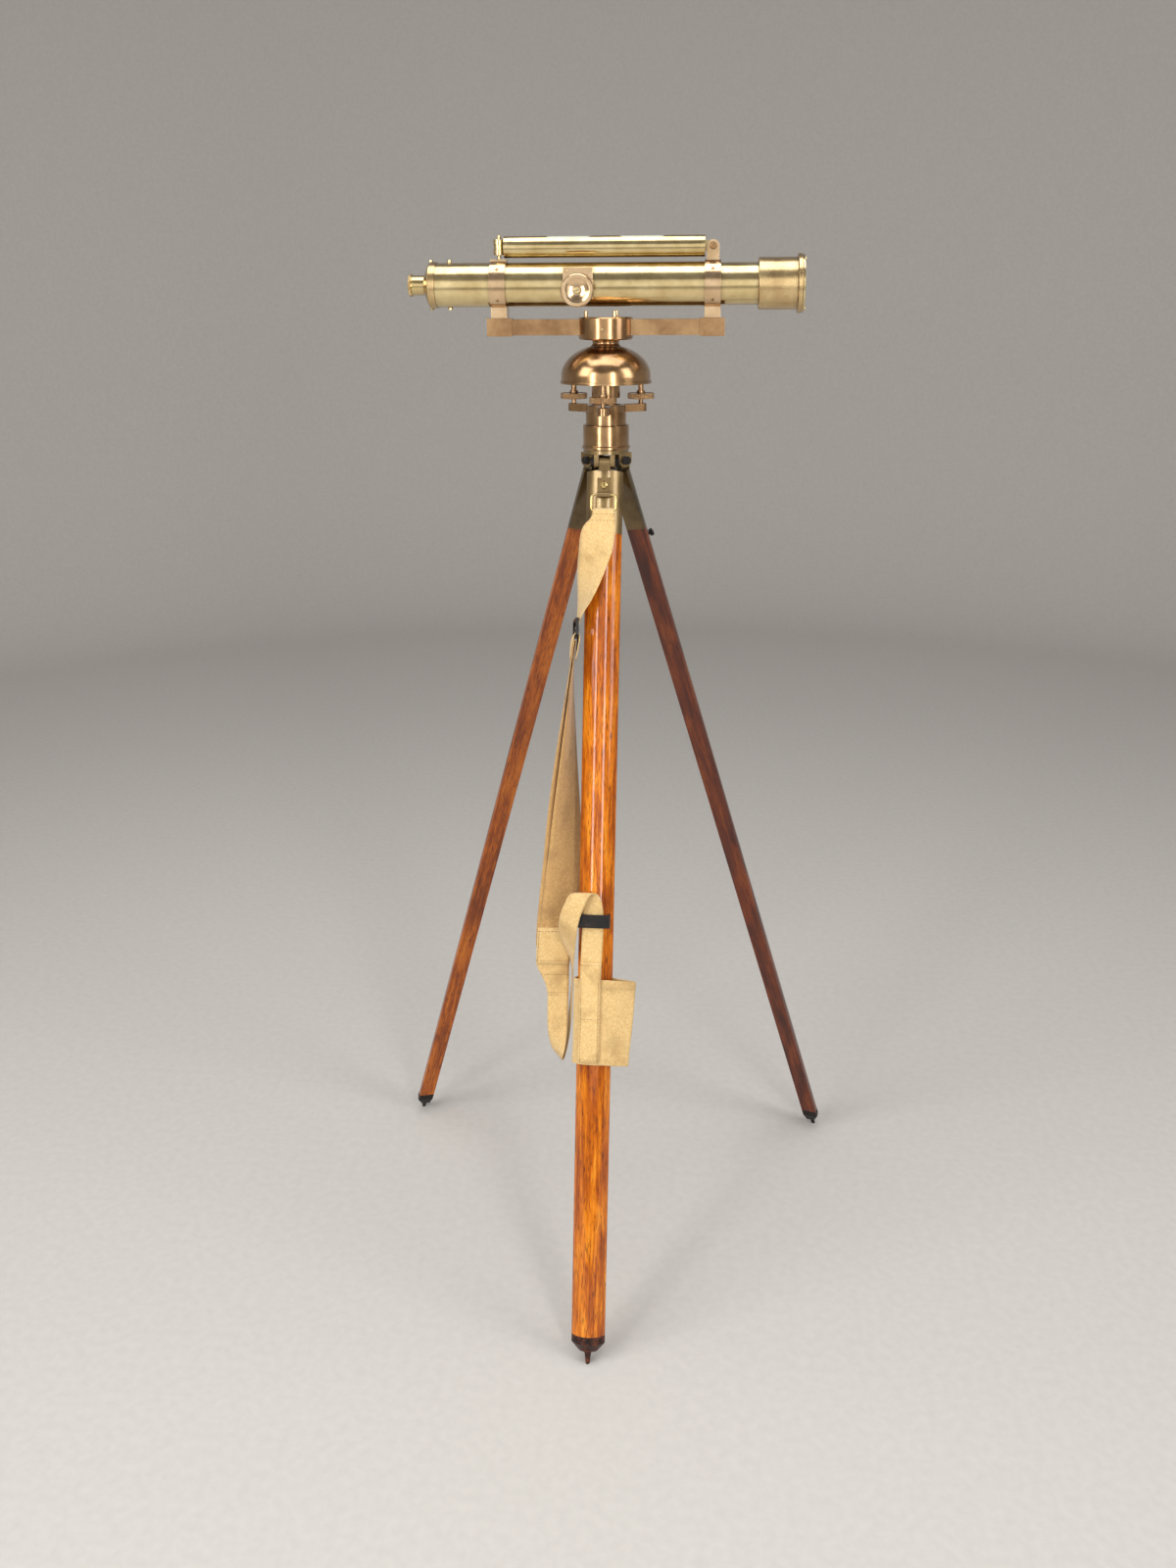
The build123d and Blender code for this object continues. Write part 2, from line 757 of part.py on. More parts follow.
with BuildPart() as capstan_screws:
    for direction in ((0, 0, 1), (0, 0, -1)):
        at = (reticle_station, 0, sight_z)
        shank_end = tube_radius + capstan_height / 2
        rod(at, direction, capstan_shank_radius, reticle_bore + capstan_bite, shank_end)
        rod(at, direction, capstan_radius, tube_radius + seat_gap, tube_radius + capstan_height)
save(capstan_screws.part, "capstan_screws")

# Eyepiece: sliding barrel with a rim, and its two lenses
eye_tip = plate_start - eyepiece_out
eye_root = plate_start + eyepiece_in - eyepiece_travel
eye_bore = eyepiece_radius - eyepiece_wall
with BuildPart() as eyepiece_barrel:
    lathe(sight_origin, sight, [
        (eye_tip, eye_bore - eyepiece_lip),
        (eye_tip, eyepiece_rim_radius - 1),
        (eye_tip + 1, eyepiece_rim_radius),
        (eye_tip + eyepiece_rim_length, eyepiece_rim_radius),
        (eye_tip + eyepiece_rim_length + 1, eyepiece_radius),
        (eye_root, eyepiece_radius),
        (eye_root, eye_bore),
        (eye_tip + eyepiece_lip, eye_bore),
        (eye_tip + eyepiece_lip, eye_bore - eyepiece_lip),
    ])
save(eyepiece_barrel.part, "eyepiece_barrel")

with BuildPart() as eyepiece_lenses:
    for near in (eye_tip + eyepiece_lip + seat_gap, eye_root - eye_lens_set_in):
        lathe(sight_origin, sight, [
            (near, 0),
            (near, eye_bore - seat_gap),
            (near + eye_lens_edge, eye_bore - seat_gap),
            (near + eye_lens_thickness, 0),
        ])
save(eyepiece_lenses.part, "eyepiece_lenses")

# Draw tube with the slot along its rack
rack_start = pinion_station - focus_out - pinion_outer - rack_run
rack_end = pinion_station + focus_in + pinion_outer + rack_run
with BuildPart() as draw_tube:
    pipe(sight_origin, sight, draw_radius, draw_radius - draw_wall, draw_inner_end, cell_start + cell_back)
    slot_top = pitch_line_z + tooth_dedendum * gear_module
    slot_bottom = pinion_z - pinion_outer - 1
    block((rack_start, rack_end), (-draw_radius - 1, 0), (slot_bottom, slot_top), Mode.SUBTRACT)
save(draw_tube.part, "draw_tube")

# Rack inside the draw tube, its teeth facing down to the pinion
tooth_pitch = pi * gear_module
flank = tan(radians(pressure_angle))
rack_root_z = pitch_line_z + tooth_dedendum * gear_module
rack_tip_z = pitch_line_z - rack_addendum * gear_module
half_tooth = (tooth_pitch - tooth_backlash) / 4
tip_half = half_tooth - rack_addendum * gear_module * flank
root_half = half_tooth + tooth_dedendum * gear_module * flank
first_tooth = -int((pinion_station - rack_start - tooth_pitch) / tooth_pitch)
last_tooth = int((rack_end - pinion_station - tooth_pitch) / tooth_pitch)
with BuildPart() as focus_rack:
    block((rack_start, rack_end), (pinion_depth - rack_back, pinion_depth + rack_depth),
          (rack_root_z, rack_root_z + rack_height))
    rack_plane = Plane(origin=(0, pinion_depth + rack_depth, 0), x_dir=(1, 0, 0), z_dir=(0, -1, 0))
    with BuildSketch(rack_plane) as teeth:
        for number in range(first_tooth, last_tooth + 1):
            middle = pinion_station + number * tooth_pitch
            with BuildLine():
                Polyline(
                    (middle - root_half, rack_root_z + rack_root_sink),
                    (middle - root_half, rack_root_z),
                    (middle - tip_half, rack_tip_z),
                    (middle + tip_half, rack_tip_z),
                    (middle + root_half, rack_root_z),
                    (middle + root_half, rack_root_z + rack_root_sink),
                    close=True,
                )
            make_face()
    extrude(teeth.sketch, amount=rack_depth + rack_back)
    rod(sight_origin, sight, draw_radius - draw_wall - seat_gap, rack_start, rack_end, Mode.INTERSECT)
save(focus_rack.part, "focus_rack")

# Objective cell, its doublet and the ring that holds the glass in
cell_end = cell_start + cell_length
cell_bore = cell_radius - cell_wall
with BuildPart() as objective_cell:
    lathe(sight_origin, sight, [
        (cell_start, draw_radius + seat_gap),
        (cell_start, cell_radius - 1),
        (cell_start + 1, cell_radius),
        (cell_end, cell_radius),
        (cell_end, cell_bore),
        (cell_start + cell_back, cell_bore),
        (cell_start + cell_back, draw_radius + seat_gap),
    ])
save(objective_cell.part, "objective_cell")

lens_fit = cell_bore - seat_gap
with BuildPart() as objective_lens:
    with BuildSketch(Plane(origin=sight_origin, x_dir=(1, 0, 0), z_dir=(0, -1, 0))) as crown:
        with BuildLine():
            Line((lens_station, 0), (lens_station, lens_fit))
            Line((lens_station, lens_fit), (lens_station + lens_edge, lens_fit))
            ThreePointArc(
                (lens_station + lens_edge, lens_fit),
                (lens_station + lens_edge + cap_rise(lens_fit, lens_bulge), lens_fit / 2),
                (lens_station + lens_edge + lens_bulge, 0),
            )
            Line((lens_station + lens_edge + lens_bulge, 0), (lens_station, 0))
        make_face()
    revolve(crown.sketch, axis=Axis(sight_origin, sight))
    rod(sight_origin, sight, lens_fit, lens_station - lens_edge - seat_gap, lens_station - seat_gap)
save(objective_lens.part, "objective_lens")

with BuildPart() as objective_ring:
    lathe(sight_origin, sight, [
        (cell_end - ring_spigot, ring_bore_radius),
        (cell_end - ring_spigot, cell_bore - seat_gap),
        (cell_end, cell_bore - seat_gap),
        (cell_end, ring_radius - 1),
        (cell_end + 1, ring_radius),
        (cell_end + ring_length - 1, ring_radius),
        (cell_end + ring_length, ring_radius - 1),
        (cell_end + ring_length, ring_bore_radius),
    ])
save(objective_ring.part, "objective_ring")

# Dust cap: shallow domed disc with a plug that slides in the ring
cap_face = cell_end + ring_length
plug_radius = ring_bore_radius - draw_clearance
with BuildPart() as dust_cap:
    with BuildSketch(Plane(origin=sight_origin, x_dir=(1, 0, 0), z_dir=(0, -1, 0))) as dome_face:
        with BuildLine():
            rim_out = (cap_face + cap_disc_thickness, cap_disc_radius)
            peak = (cap_face + cap_disc_thickness + cap_disc_bulge, 0)
            Line((cap_face, 0), (cap_face, cap_disc_radius))
            Line((cap_face, cap_disc_radius), rim_out)
            halfway = rim_out[0] + cap_rise(cap_disc_radius, cap_disc_bulge)
            ThreePointArc(rim_out, (halfway, cap_disc_radius / 2), peak)
            Line(peak, (cap_face, 0))
        make_face()
    revolve(dome_face.sketch, axis=Axis(sight_origin, sight))
    pipe(sight_origin, sight, plug_radius, plug_radius - cap_plug_wall, cap_face - cap_plug_length, cap_face)
save(dust_cap.part, "dust_cap")

# Pinion box: saddle on the side of the body tube with the bearing of the pinion
with BuildPart() as pinion_box:
    box_x = (pinion_station - pinion_box_width / 2, pinion_station + pinion_box_width / 2)
    box_middle = pinion_z + pinion_box_lift
    box_z = (box_middle - pinion_box_height / 2, box_middle + pinion_box_height / 2)
    block(box_x, (-pinion_box_face, -tube_radius / 2), box_z)
    rod(sight_origin, sight, tube_radius + seat_gap, box_x[0] - 1, box_x[1] + 1, Mode.SUBTRACT)
    rod(pinion_origin, across, pinion_outer + 1, 0, -pinion_depth + pinion_face + 1, Mode.SUBTRACT)
    rod(pinion_origin, across, pinion_shaft_radius + running_gap, 0, pinion_box_face + 1, Mode.SUBTRACT)
save(pinion_box.part, "pinion_box")


# Pinion: involute teeth from their base circle, on the shaft of the knob
def involute_point(base, radius, turn, hand):
    """Point of an involute at a radius, turned and mirrored to its flank."""
    roll = sqrt(max((radius / base) ** 2 - 1, 0))
    angle = turn + hand * (roll - atan(roll))
    return (radius * cos(angle), radius * sin(angle))


base_radius = pitch_radius * cos(radians(pressure_angle))
pinion_root = pitch_radius - tooth_dedendum * gear_module
involute_at_pitch = tan(radians(pressure_angle)) - radians(pressure_angle)
tooth_half_angle = (tooth_pitch - tooth_backlash) / 4 / pitch_radius
flank_turn = tooth_half_angle + involute_at_pitch
flank_radii = [base_radius, (base_radius + pitch_radius) / 2, pitch_radius, pinion_outer]
pinion_middle = -pinion_depth - pinion_face / 2
# A gap between two teeth stands at the tooth of the rack straight above the shaft.
with BuildPart() as focus_pinion:
    with BuildSketch(Plane(origin=(pinion_station, -pinion_middle, pinion_z),
                           x_dir=(1, 0, 0), z_dir=(0, -1, 0))) as gear:
        Circle(pinion_root)
        for number in range(pinion_teeth):
            middle = pi / 2 + (number + 0.5) * 2 * pi / pinion_teeth
            rising = [involute_point(base_radius, r, middle - flank_turn, 1) for r in flank_radii]
            falling = [involute_point(base_radius, r, middle + flank_turn, -1) for r in flank_radii]
            with BuildLine():
                Polyline((0, 0), *rising, *reversed(falling), close=True)
            make_face()
    extrude(gear.sketch, amount=pinion_face)
    rod(pinion_origin, across, pinion_shaft_radius, pinion_middle + 1, knob_stand + knob_shaft_depth)
save(focus_pinion.part, "focus_pinion")

# Focusing knob: thick milled disc with a dished face
knob_end = knob_stand + knob_thickness
bowl_shares = [step / knob_bowl_steps for step in range(knob_bowl_steps, 0, -1)]
knob_bowl = [(knob_end - knob_dish_depth * (1 - s ** 2), knob_dish_radius * s) for s in bowl_shares]
with BuildPart() as focus_knob:
    lathe(pinion_origin, across, [
        (pinion_box_face + hinge_side_gap, pinion_shaft_radius + seat_gap),
        (pinion_box_face + hinge_side_gap, knob_hub_radius),
        (knob_stand, knob_hub_radius),
        (knob_stand, knob_radius - 1),
        (knob_stand + 1, knob_radius),
        (knob_end - 1, knob_radius),
        (knob_end, knob_radius - 1),
        *knob_bowl,
        (knob_end - knob_dish_depth, 0),
        (knob_stand + knob_shaft_depth + seat_gap, 0),
        (knob_stand + knob_shaft_depth + seat_gap, pinion_shaft_radius + seat_gap),
    ])
save(focus_knob.part, "focus_knob")

# Bubble case: tube with two windows along its top
case_bore = bubble_radius - bubble_wall
with BuildPart() as bubble_case:
    pipe(bubble_origin, sight, bubble_radius, case_bore, bubble_start, bubble_end)
    for side in (-1, 1):
        with BuildSketch(Plane.XY.offset(bubble_z)) as window:
            with Locations((side * (window_start + window_length / 2), 0)):
                SlotOverall(window_length, window_width)
        extrude(window.sketch, amount=bubble_radius + 1, mode=Mode.SUBTRACT)
save(bubble_case.part, "bubble_case")

# Glass vial with rounded ends, bedded in the end plugs
vial_start = bubble_start + vial_end_gap
vial_stop = bubble_end - vial_end_gap
with BuildPart() as bubble_vial:
    lathe(bubble_origin, sight, [
        (vial_start, 0),
        (vial_start, vial_radius - vial_shoulder),
        (vial_start + vial_shoulder, vial_radius),
        (vial_stop - vial_shoulder, vial_radius),
        (vial_stop, vial_radius - vial_shoulder),
        (vial_stop, 0),
    ])
save(bubble_vial.part, "bubble_vial")

# End plugs: an eye round the stud at one end, a pivoted tongue at the other
plug_fit = case_bore - seat_gap
vial_bed = vial_radius + seat_gap
with BuildPart() as bubble_end_plugs:
    for edge, inward in ((bubble_start, 1), (bubble_end, -1)):
        pipe(bubble_origin, sight, plug_fit, vial_bed, *sorted((edge, edge + inward * plug_depth)))
        rod(bubble_origin, sight, bubble_radius, *sorted((edge, edge - inward * plug_flange)))
    rod(bubble_origin, sight, lug_neck_radius, -collar_reach, bubble_start)
    rod((-collar_reach, 0, bubble_z), vertical, lug_eye_radius, -lug_eye_height / 2, lug_eye_height / 2)
    rod((-collar_reach, 0, bubble_z), vertical, stud_radius + stud_play,
        -cut_reach, cut_reach, Mode.SUBTRACT)
    block((bubble_end + 1, collar_reach), (-tongue_half, tongue_half),
          (bubble_z - fork_head_radius + 1, bubble_z + fork_head_radius - 1))
    rod((collar_reach, 0, bubble_z), (0, 1, 0), fork_head_radius - 1, -tongue_half, tongue_half)
    rod((collar_reach, 0, bubble_z), (0, 1, 0), pivot_radius + running_gap,
        -cut_reach, cut_reach, Mode.SUBTRACT)
save(bubble_end_plugs.part, "bubble_end_plugs")

# Stud on the left collar and the two capstan nuts that grip the eye
with BuildPart() as bubble_stud:
    rod((-collar_reach, 0, 0), vertical, stud_radius, sight_z + tube_radius + post_gap,
        bubble_z + lug_eye_height / 2 + nut_height + stud_rise)
save(bubble_stud.part, "bubble_stud")

with BuildPart() as capstan_nuts:
    for side in (-1, 1):
        near = bubble_z + side * (lug_eye_height / 2)
        far = near + side * nut_height
        pipe((-collar_reach, 0, 0), vertical, nut_radius, stud_radius + stud_play, *sorted((near, far)))
save(capstan_nuts.part, "capstan_nuts")

# Pivot screw through the fork and the tongue
with BuildPart() as bubble_pivot:
    rod((collar_reach, 0, bubble_z), across, pivot_radius, -fork_outer, fork_outer + 1)
    rod((collar_reach, 0, bubble_z), across, pivot_head_radius, fork_outer, fork_outer + pivot_head_height)
save(bubble_pivot.part, "bubble_pivot")

# Legs, caps and shoes
shoe_top = leg_length - shoe_length
spike_top = leg_length - spike_length
seat_inset = fold_gap + cap_wall


def leg_wood(plane):
    """Solid leg: a third of a tapering pole, let into its cap and its shoe."""
    with BuildPart() as wood:
        tenon = cap_top_drop + cap_wall + tenon_gap
        loft([
            wedge(plane, tenon, pole_radius(0) - cap_wall, seat_inset),
            wedge(plane, cap_length, pole_radius(cap_length) - cap_wall, seat_inset),
        ])
        loft([
            wedge(plane, cap_length, pole_radius(cap_length), fold_gap),
            wedge(plane, shoe_top, pole_radius(shoe_top), fold_gap),
        ])
        loft([
            wedge(plane, shoe_top, pole_radius(shoe_top) - shoe_wall, seat_inset),
            wedge(plane, spike_top, pole_radius(spike_top) - shoe_wall, seat_inset),
        ])
    return wood.part


def leg_cap(plane):
    """Brass cap round the head of the leg with the hinge tongue on top."""
    inner = seat_inset - seat_gap
    with BuildPart() as cap:
        loft([
            wedge(plane, cap_top_drop, pole_radius(0), fold_gap),
            wedge(plane, cap_length, pole_radius(cap_length), fold_gap),
        ])
        loft([
            wedge(plane, cap_top_drop + cap_wall + tenon_gap, pole_radius(0) - cap_wall + seat_gap, inner),
            wedge(plane, cap_length, pole_radius(cap_length) - cap_wall + seat_gap, inner),
        ], mode=Mode.SUBTRACT)
        side = plane.y_dir
        start = plane.origin - side * (tongue_width / 2)
        with BuildSketch(Plane(origin=start, x_dir=plane.x_dir, z_dir=side)) as tongue:
            Circle(tongue_radius)
            with Locations((0, (cap_top_drop + 1) / 2)):
                Rectangle(2 * tongue_neck, cap_top_drop + 1)
            Circle(bolt_radius + running_gap, mode=Mode.SUBTRACT)
        extrude(tongue.sketch, amount=tongue_width)
    return cap.part


def leg_shoe(plane):
    """Iron shoe round the foot of the leg with a spike worn flat on the floor."""
    tip_radius = pole_radius(spike_top) - shoe_taper_inset
    with BuildPart() as shoe:
        loft([
            wedge(plane, shoe_top, pole_radius(shoe_top), fold_gap),
            wedge(plane, spike_top, pole_radius(spike_top), fold_gap),
        ])
        loft([
            wedge(plane, spike_top, pole_radius(spike_top), fold_gap),
            wedge(plane, spike_top + shoe_taper, tip_radius, fold_gap + shoe_taper_flat),
        ])
        loft([
            wedge(plane, shoe_top, pole_radius(shoe_top) - shoe_wall + seat_gap, seat_inset - seat_gap),
            wedge(plane, spike_top, pole_radius(spike_top) - shoe_wall + seat_gap, seat_inset - seat_gap),
        ], mode=Mode.SUBTRACT)
        at = plane.from_local_coords((point_offset, 0, 0))
        down = plane.z_dir * -1
        lathe(tuple(at), tuple(down), [
            (spike_top, 0),
            (spike_top, spike_root_radius),
            (leg_length + 1, spike_tip_radius),
            (leg_length + 1, 0),
        ])
        split(bisect_by=Plane.XY, keep=Keep.TOP)
    return shoe.part


leg_azimuths = {"front": leg_front_azimuth}
leg_azimuths["right"] = leg_front_azimuth + leg_pitch_angle
leg_azimuths["left"] = leg_front_azimuth - leg_pitch_angle
for side, azimuth in leg_azimuths.items():
    save(leg_wood(leg_plane(azimuth)), f"{side}_leg")
    save(leg_cap(leg_plane(azimuth)), f"{side}_leg_cap")
    save(leg_shoe(leg_plane(azimuth)), f"{side}_leg_shoe")

# Strap stud on the right leg
right_plane = leg_plane(leg_azimuths["right"])


def on_leg(plane, out, side, drop):
    """World point given outward, sideways and down the leg from its hinge."""
    return plane.origin + plane.x_dir * out + plane.y_dir * side - plane.z_dir * drop


stud_face = pole_radius(strap_stud_station) - hinge_radius
with BuildPart() as strap_stud:
    stud_root = tuple(on_leg(right_plane, stud_face, 0, strap_stud_station))
    stud_line = tuple(right_plane.x_dir)
    rod(stud_root, stud_line, strap_stud_radius, post_gap, strap_stud_reach)
    rod(stud_root, stud_line, strap_stud_head_radius, strap_stud_reach - strap_stud_head, strap_stud_reach)
save(strap_stud.part, "strap_stud")

# Sling lug on the cap of the front leg, with its screw and wire loop
front_plane = leg_plane(leg_front_azimuth)
side_line = tuple(front_plane.y_dir)
out_line = tuple(front_plane.x_dir)
lug_back = pole_radius(lug_station) + seat_gap
lug_face = lug_back + lug_plate - hinge_radius
barrel_drop = lug_station + lug_height
with BuildPart() as strap_lug:
    with BuildSketch(front_plane.offset(-lug_station)) as plate:
        with Locations((lug_face / 2, 0)):
            Rectangle(lug_face, lug_width)
        with Locations((-hinge_radius, 0)):
            Circle(lug_back, mode=Mode.SUBTRACT)
    extrude(plate.sketch, amount=-lug_height)
    barrel = tuple(on_leg(front_plane, lug_barrel_out, 0, barrel_drop))
    rod(barrel, side_line, lug_barrel_radius, -lug_width / 2, lug_width / 2)
    rod(barrel, side_line, loop_wire_radius + running_gap, -lug_width, lug_width, Mode.SUBTRACT)
save(strap_lug.part, "strap_lug")

with BuildPart() as strap_lug_screw:
    screw_at = tuple(on_leg(front_plane, lug_face, 0, lug_station + lug_screw_drop))
    lathe(screw_at, out_line, [
        (seat_gap, 0),
        (seat_gap, lug_screw_radius),
        (lug_screw_height / 2, lug_screw_shoulder),
        (lug_screw_height, lug_screw_crown),
        (lug_screw_height, 0),
    ])
save(strap_lug_screw.part, "strap_lug_screw")

loop_middle = on_leg(front_plane, lug_barrel_out, 0, barrel_drop + loop_height / 2)
loop_plane = Plane(origin=loop_middle, x_dir=front_plane.y_dir, z_dir=front_plane.x_dir)
with BuildSketch(loop_plane) as loop_outline:
    RectangleRounded(loop_width, loop_height, loop_corner)
loop_path = loop_outline.sketch.faces()[0].outer_wire()
with BuildPart() as strap_loop:
    with BuildSketch(Plane(origin=loop_path @ 0, z_dir=loop_path % 0)) as wire:
        Circle(loop_wire_radius)
    sweep(wire.sketch, path=loop_path)
save(strap_loop.part, "strap_loop")


# Webbing: a flat band laid through stations of (drop, side, out, width, turn)
def laid(rows):
    """Turn rows counted in route units into stations in millimetres."""
    return [(drop * route_unit, side * route_unit, out * route_unit, width, turn)
            for drop, side, out, width, turn in rows]


def webbing(stations, thickness):
    """Loft a flat band through its stations down the front leg."""
    points = [on_leg(front_plane, out, side, drop) for drop, side, out, width, turn in stations]
    faces = []
    for number, (drop, side, out, width, turn) in enumerate(stations):
        before = points[max(number - 1, 0)]
        after = points[min(number + 1, len(points) - 1)]
        run = after - before
        a = radians(turn)
        edge = front_plane.y_dir * cos(a) + front_plane.x_dir * sin(a)
        ahead = edge.cross(run).cross(edge)
        with BuildSketch(Plane(origin=points[number], x_dir=edge, z_dir=ahead)) as face:
            Rectangle(width, thickness)
        faces.append(face.sketch)
    with BuildPart() as band:
        loft(faces, ruled=True)
    return band.part


loop_foot = barrel_drop + loop_height + loop_wire_radius
buckle_half = buckle_height / 2
upper_start = (loop_foot + sling_gap, sling_gap, lug_barrel_out + sling_lift, sling_tab_width, 0)
buckle_top = buckle_station - buckle_half - sling_gap
buckle_entry = (buckle_top, -buckle_side, -buckle_out, sling_width, buckle_turn)
upper_sling = [upper_start] + laid([
    (82, -1, 10.5, sling_shoulder_width, 4),
    (104, -6, 10.5, sling_width, 12),
    (160, -20, 7, sling_width, 48),
]) + [buckle_entry]
save(webbing(upper_sling, sling_thickness), "sling_upper")

buckle_foot = buckle_station + buckle_half + sling_gap
buckle_exit = (buckle_foot, -buckle_side, -buckle_out, sling_width, buckle_turn)
lower_sling = [buckle_exit] + laid([
    (400, -44, -16, sling_width, 120),
    (500, -46, -25, sling_width, 152),
    (545, -47, -27, sling_width, 172),
    (575, -57, -28, sling_end_width, 176),
    (624, -58, -28, sling_end_width, 176),
    (636, -55, -28, tail_width, 176),
])
save(webbing(lower_sling, doubled_thickness), "sling_lower")

end_drop, end_side, end_out, end_width, end_turn = lower_sling[-1]
end_turn -= half_turn
tail = [(end_drop + sling_gap, end_side, end_out, end_width, end_turn)]
tail += laid([(700, -50, -27, tail_width, 0)])
for step in range(1, bend_steps):
    a = radians(step * 180 / bend_steps)
    tail.append((
        bend_station + bend_radius * sin(a),
        -bend_side + step * bend_drift,
        -bend_out - bend_radius * (1 - cos(a)),
        tail_width,
        0,
    ))
tail += laid([
    (690, -40, -50, tail_width, 20),
    (650, -31.5, -38, tail_width, 62),
    (610, -31.5, -10, tail_width, 62),
    (584, -34, 12, tail_width, 20),
    (548, -21, 19, tail_width, 0),
    (540, -16, 14.5, tail_width, 0),
    (546, -8, 9.6, tail_width, 0),
    (559, -3.5, 9, tail_width, 0),
    (600, -3.5, 8.8, tail_width, 0),
    (645, -5, 9.8, tail_width, 0),
    (694, -5, 9.9, tail_width, 0),
])
save(webbing(tail, tail_thickness), "sling_tail")

# Buckle frame and its tongue, edge on beside the leg
turn = radians(buckle_turn)
buckle_edge = front_plane.y_dir * cos(turn) + front_plane.x_dir * sin(turn)
buckle_face = buckle_edge.cross(front_plane.z_dir)
buckle_at = on_leg(front_plane, -buckle_out, -buckle_side, buckle_station)
with BuildPart() as sling_buckle:
    with BuildSketch(Plane(origin=buckle_at, x_dir=buckle_edge, z_dir=buckle_face)) as frame:
        RectangleRounded(buckle_width, buckle_height, buckle_wire)
        Rectangle(buckle_width - 2 * buckle_wire, buckle_height - 2 * buckle_wire, mode=Mode.SUBTRACT)
    extrude(frame.sketch, amount=buckle_wire / 2, both=True)
save(sling_buckle.part, "sling_buckle")

with BuildPart() as buckle_tongue:
    lift = buckle_at - buckle_face * (buckle_wire / 2 + seat_gap)
    with BuildSketch(Plane(origin=lift, x_dir=buckle_edge, z_dir=buckle_face * -1)) as pin:
        Rectangle(buckle_tongue_width, buckle_height)
    extrude(pin.sketch, amount=buckle_tongue_width / 2)
save(buckle_tongue.part, "buckle_tongue")

# Keeper: a flat staple on the leg that the sling tail passes under
band_back = pole_radius(band_station - band_width / 2) + seat_gap
with BuildPart() as keeper_band:
    with BuildSketch(front_plane.offset(-band_station + band_width / 2)) as staple:
        outer = band_out + band_thickness
        with Locations((outer / 2 - band_post, (band_right - band_left) / 2)):
            Rectangle(outer + 2 * band_post, band_right + band_left)
        with Locations((band_out / 2 - hinge_radius / 2, (band_right - band_left) / 2)):
            Rectangle(band_out + hinge_radius, band_right + band_left - 2 * band_post, mode=Mode.SUBTRACT)
        with Locations((-hinge_radius, 0)):
            Circle(band_back, mode=Mode.SUBTRACT)
    extrude(staple.sketch, amount=-band_width)
save(keeper_band.part, "keeper_band")

# Canvas sleeve: an open tube round the leg, lying flat beyond its right side
sleeve_front = [(-2, -24.6), (7.6, -9), (7.6, 9), (2, 26)]
sleeve_back = [(-9, 50), (-14, 30), (-26.5, 0), (-15, -25.6)]
sleeve_outline = [(out * route_unit, side * route_unit) for out, side in sleeve_front + sleeve_back]
with BuildPart() as leg_sleeve:
    with BuildSketch(front_plane.offset(-sleeve_start)) as tube:
        with BuildLine():
            FilletPolyline(*sleeve_outline, radius=sleeve_round, close=True)
        make_face()
        offset(amount=-sleeve_wall, mode=Mode.SUBTRACT)
    extrude(tube.sketch, amount=-sleeve_length)
save(leg_sleeve.part, "leg_sleeve")
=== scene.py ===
# %% [markdown]
# # A surveyor's level on its folding tripod
# The solid pieces come from a imported CAD model in metres, with +Z up and the floor at zero. This lesson
# dresses them: brass, gunmetal, mahogany, iron, glass and a canvas sling, with screws, milled edges and
# stitches that are too small for the solids.

# %% Load the frame
import json
import math
from collections import namedtuple

import bmesh
import bpy
import numpy as np
from mathutils import Matrix, Vector


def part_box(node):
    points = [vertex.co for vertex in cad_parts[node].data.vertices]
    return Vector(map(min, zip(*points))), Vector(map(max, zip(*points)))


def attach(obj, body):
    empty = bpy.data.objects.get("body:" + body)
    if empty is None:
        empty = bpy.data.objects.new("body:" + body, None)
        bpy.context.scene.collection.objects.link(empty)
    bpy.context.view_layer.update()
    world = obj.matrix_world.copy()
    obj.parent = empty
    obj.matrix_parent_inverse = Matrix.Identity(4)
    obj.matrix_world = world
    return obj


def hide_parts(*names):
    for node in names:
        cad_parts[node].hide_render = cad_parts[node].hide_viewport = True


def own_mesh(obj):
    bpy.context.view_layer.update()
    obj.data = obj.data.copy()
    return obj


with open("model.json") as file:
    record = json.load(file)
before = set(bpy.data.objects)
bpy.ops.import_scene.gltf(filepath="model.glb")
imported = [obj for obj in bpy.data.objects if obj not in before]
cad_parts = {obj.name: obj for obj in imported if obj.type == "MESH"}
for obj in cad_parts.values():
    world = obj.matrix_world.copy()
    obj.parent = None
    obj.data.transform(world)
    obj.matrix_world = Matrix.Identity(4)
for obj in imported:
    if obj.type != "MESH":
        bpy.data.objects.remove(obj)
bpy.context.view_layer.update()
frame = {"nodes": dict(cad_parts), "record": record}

nodes = frame["nodes"]
MM = 0.001

# %% [markdown]
# Two helpers serve every finish. The first turns an sRGB hex colour into the linear numbers that shaders
# use. The second adds one node with its settings, its socket values and its links, so that a finish reads
# as a list of what goes into what. Adding and linking line by line would do the same in many more lines.

# %% Colour and node helpers
def linear(code):
    shares = [int(code[i:i + 2], 16) / 255 for i in (1, 3, 5)]
    return [c / 12.92 if c <= 0.04045 else ((c + 0.055) / 1.055) ** 2.4 for c in shares] + [1.0]


def add(tree, kind, values=None, links=None, ramp=None, **settings):
    node = tree.nodes.new(kind)
    for name, value in settings.items():
        setattr(node, name, value)
    for name, value in (values or {}).items():
        node.inputs[name].default_value = value
    for name, source in (links or {}).items():
        tree.links.new(source, node.inputs[name])
    for place, (position, code) in enumerate(ramp or []):
        stops = node.color_ramp.elements
        stop = stops[place] if place < len(stops) else stops.new(position)
        stop.position = position
        stop.color = linear(code)
    return node


print("mid grey is", round(linear("#808080")[0], 3), "in linear light")

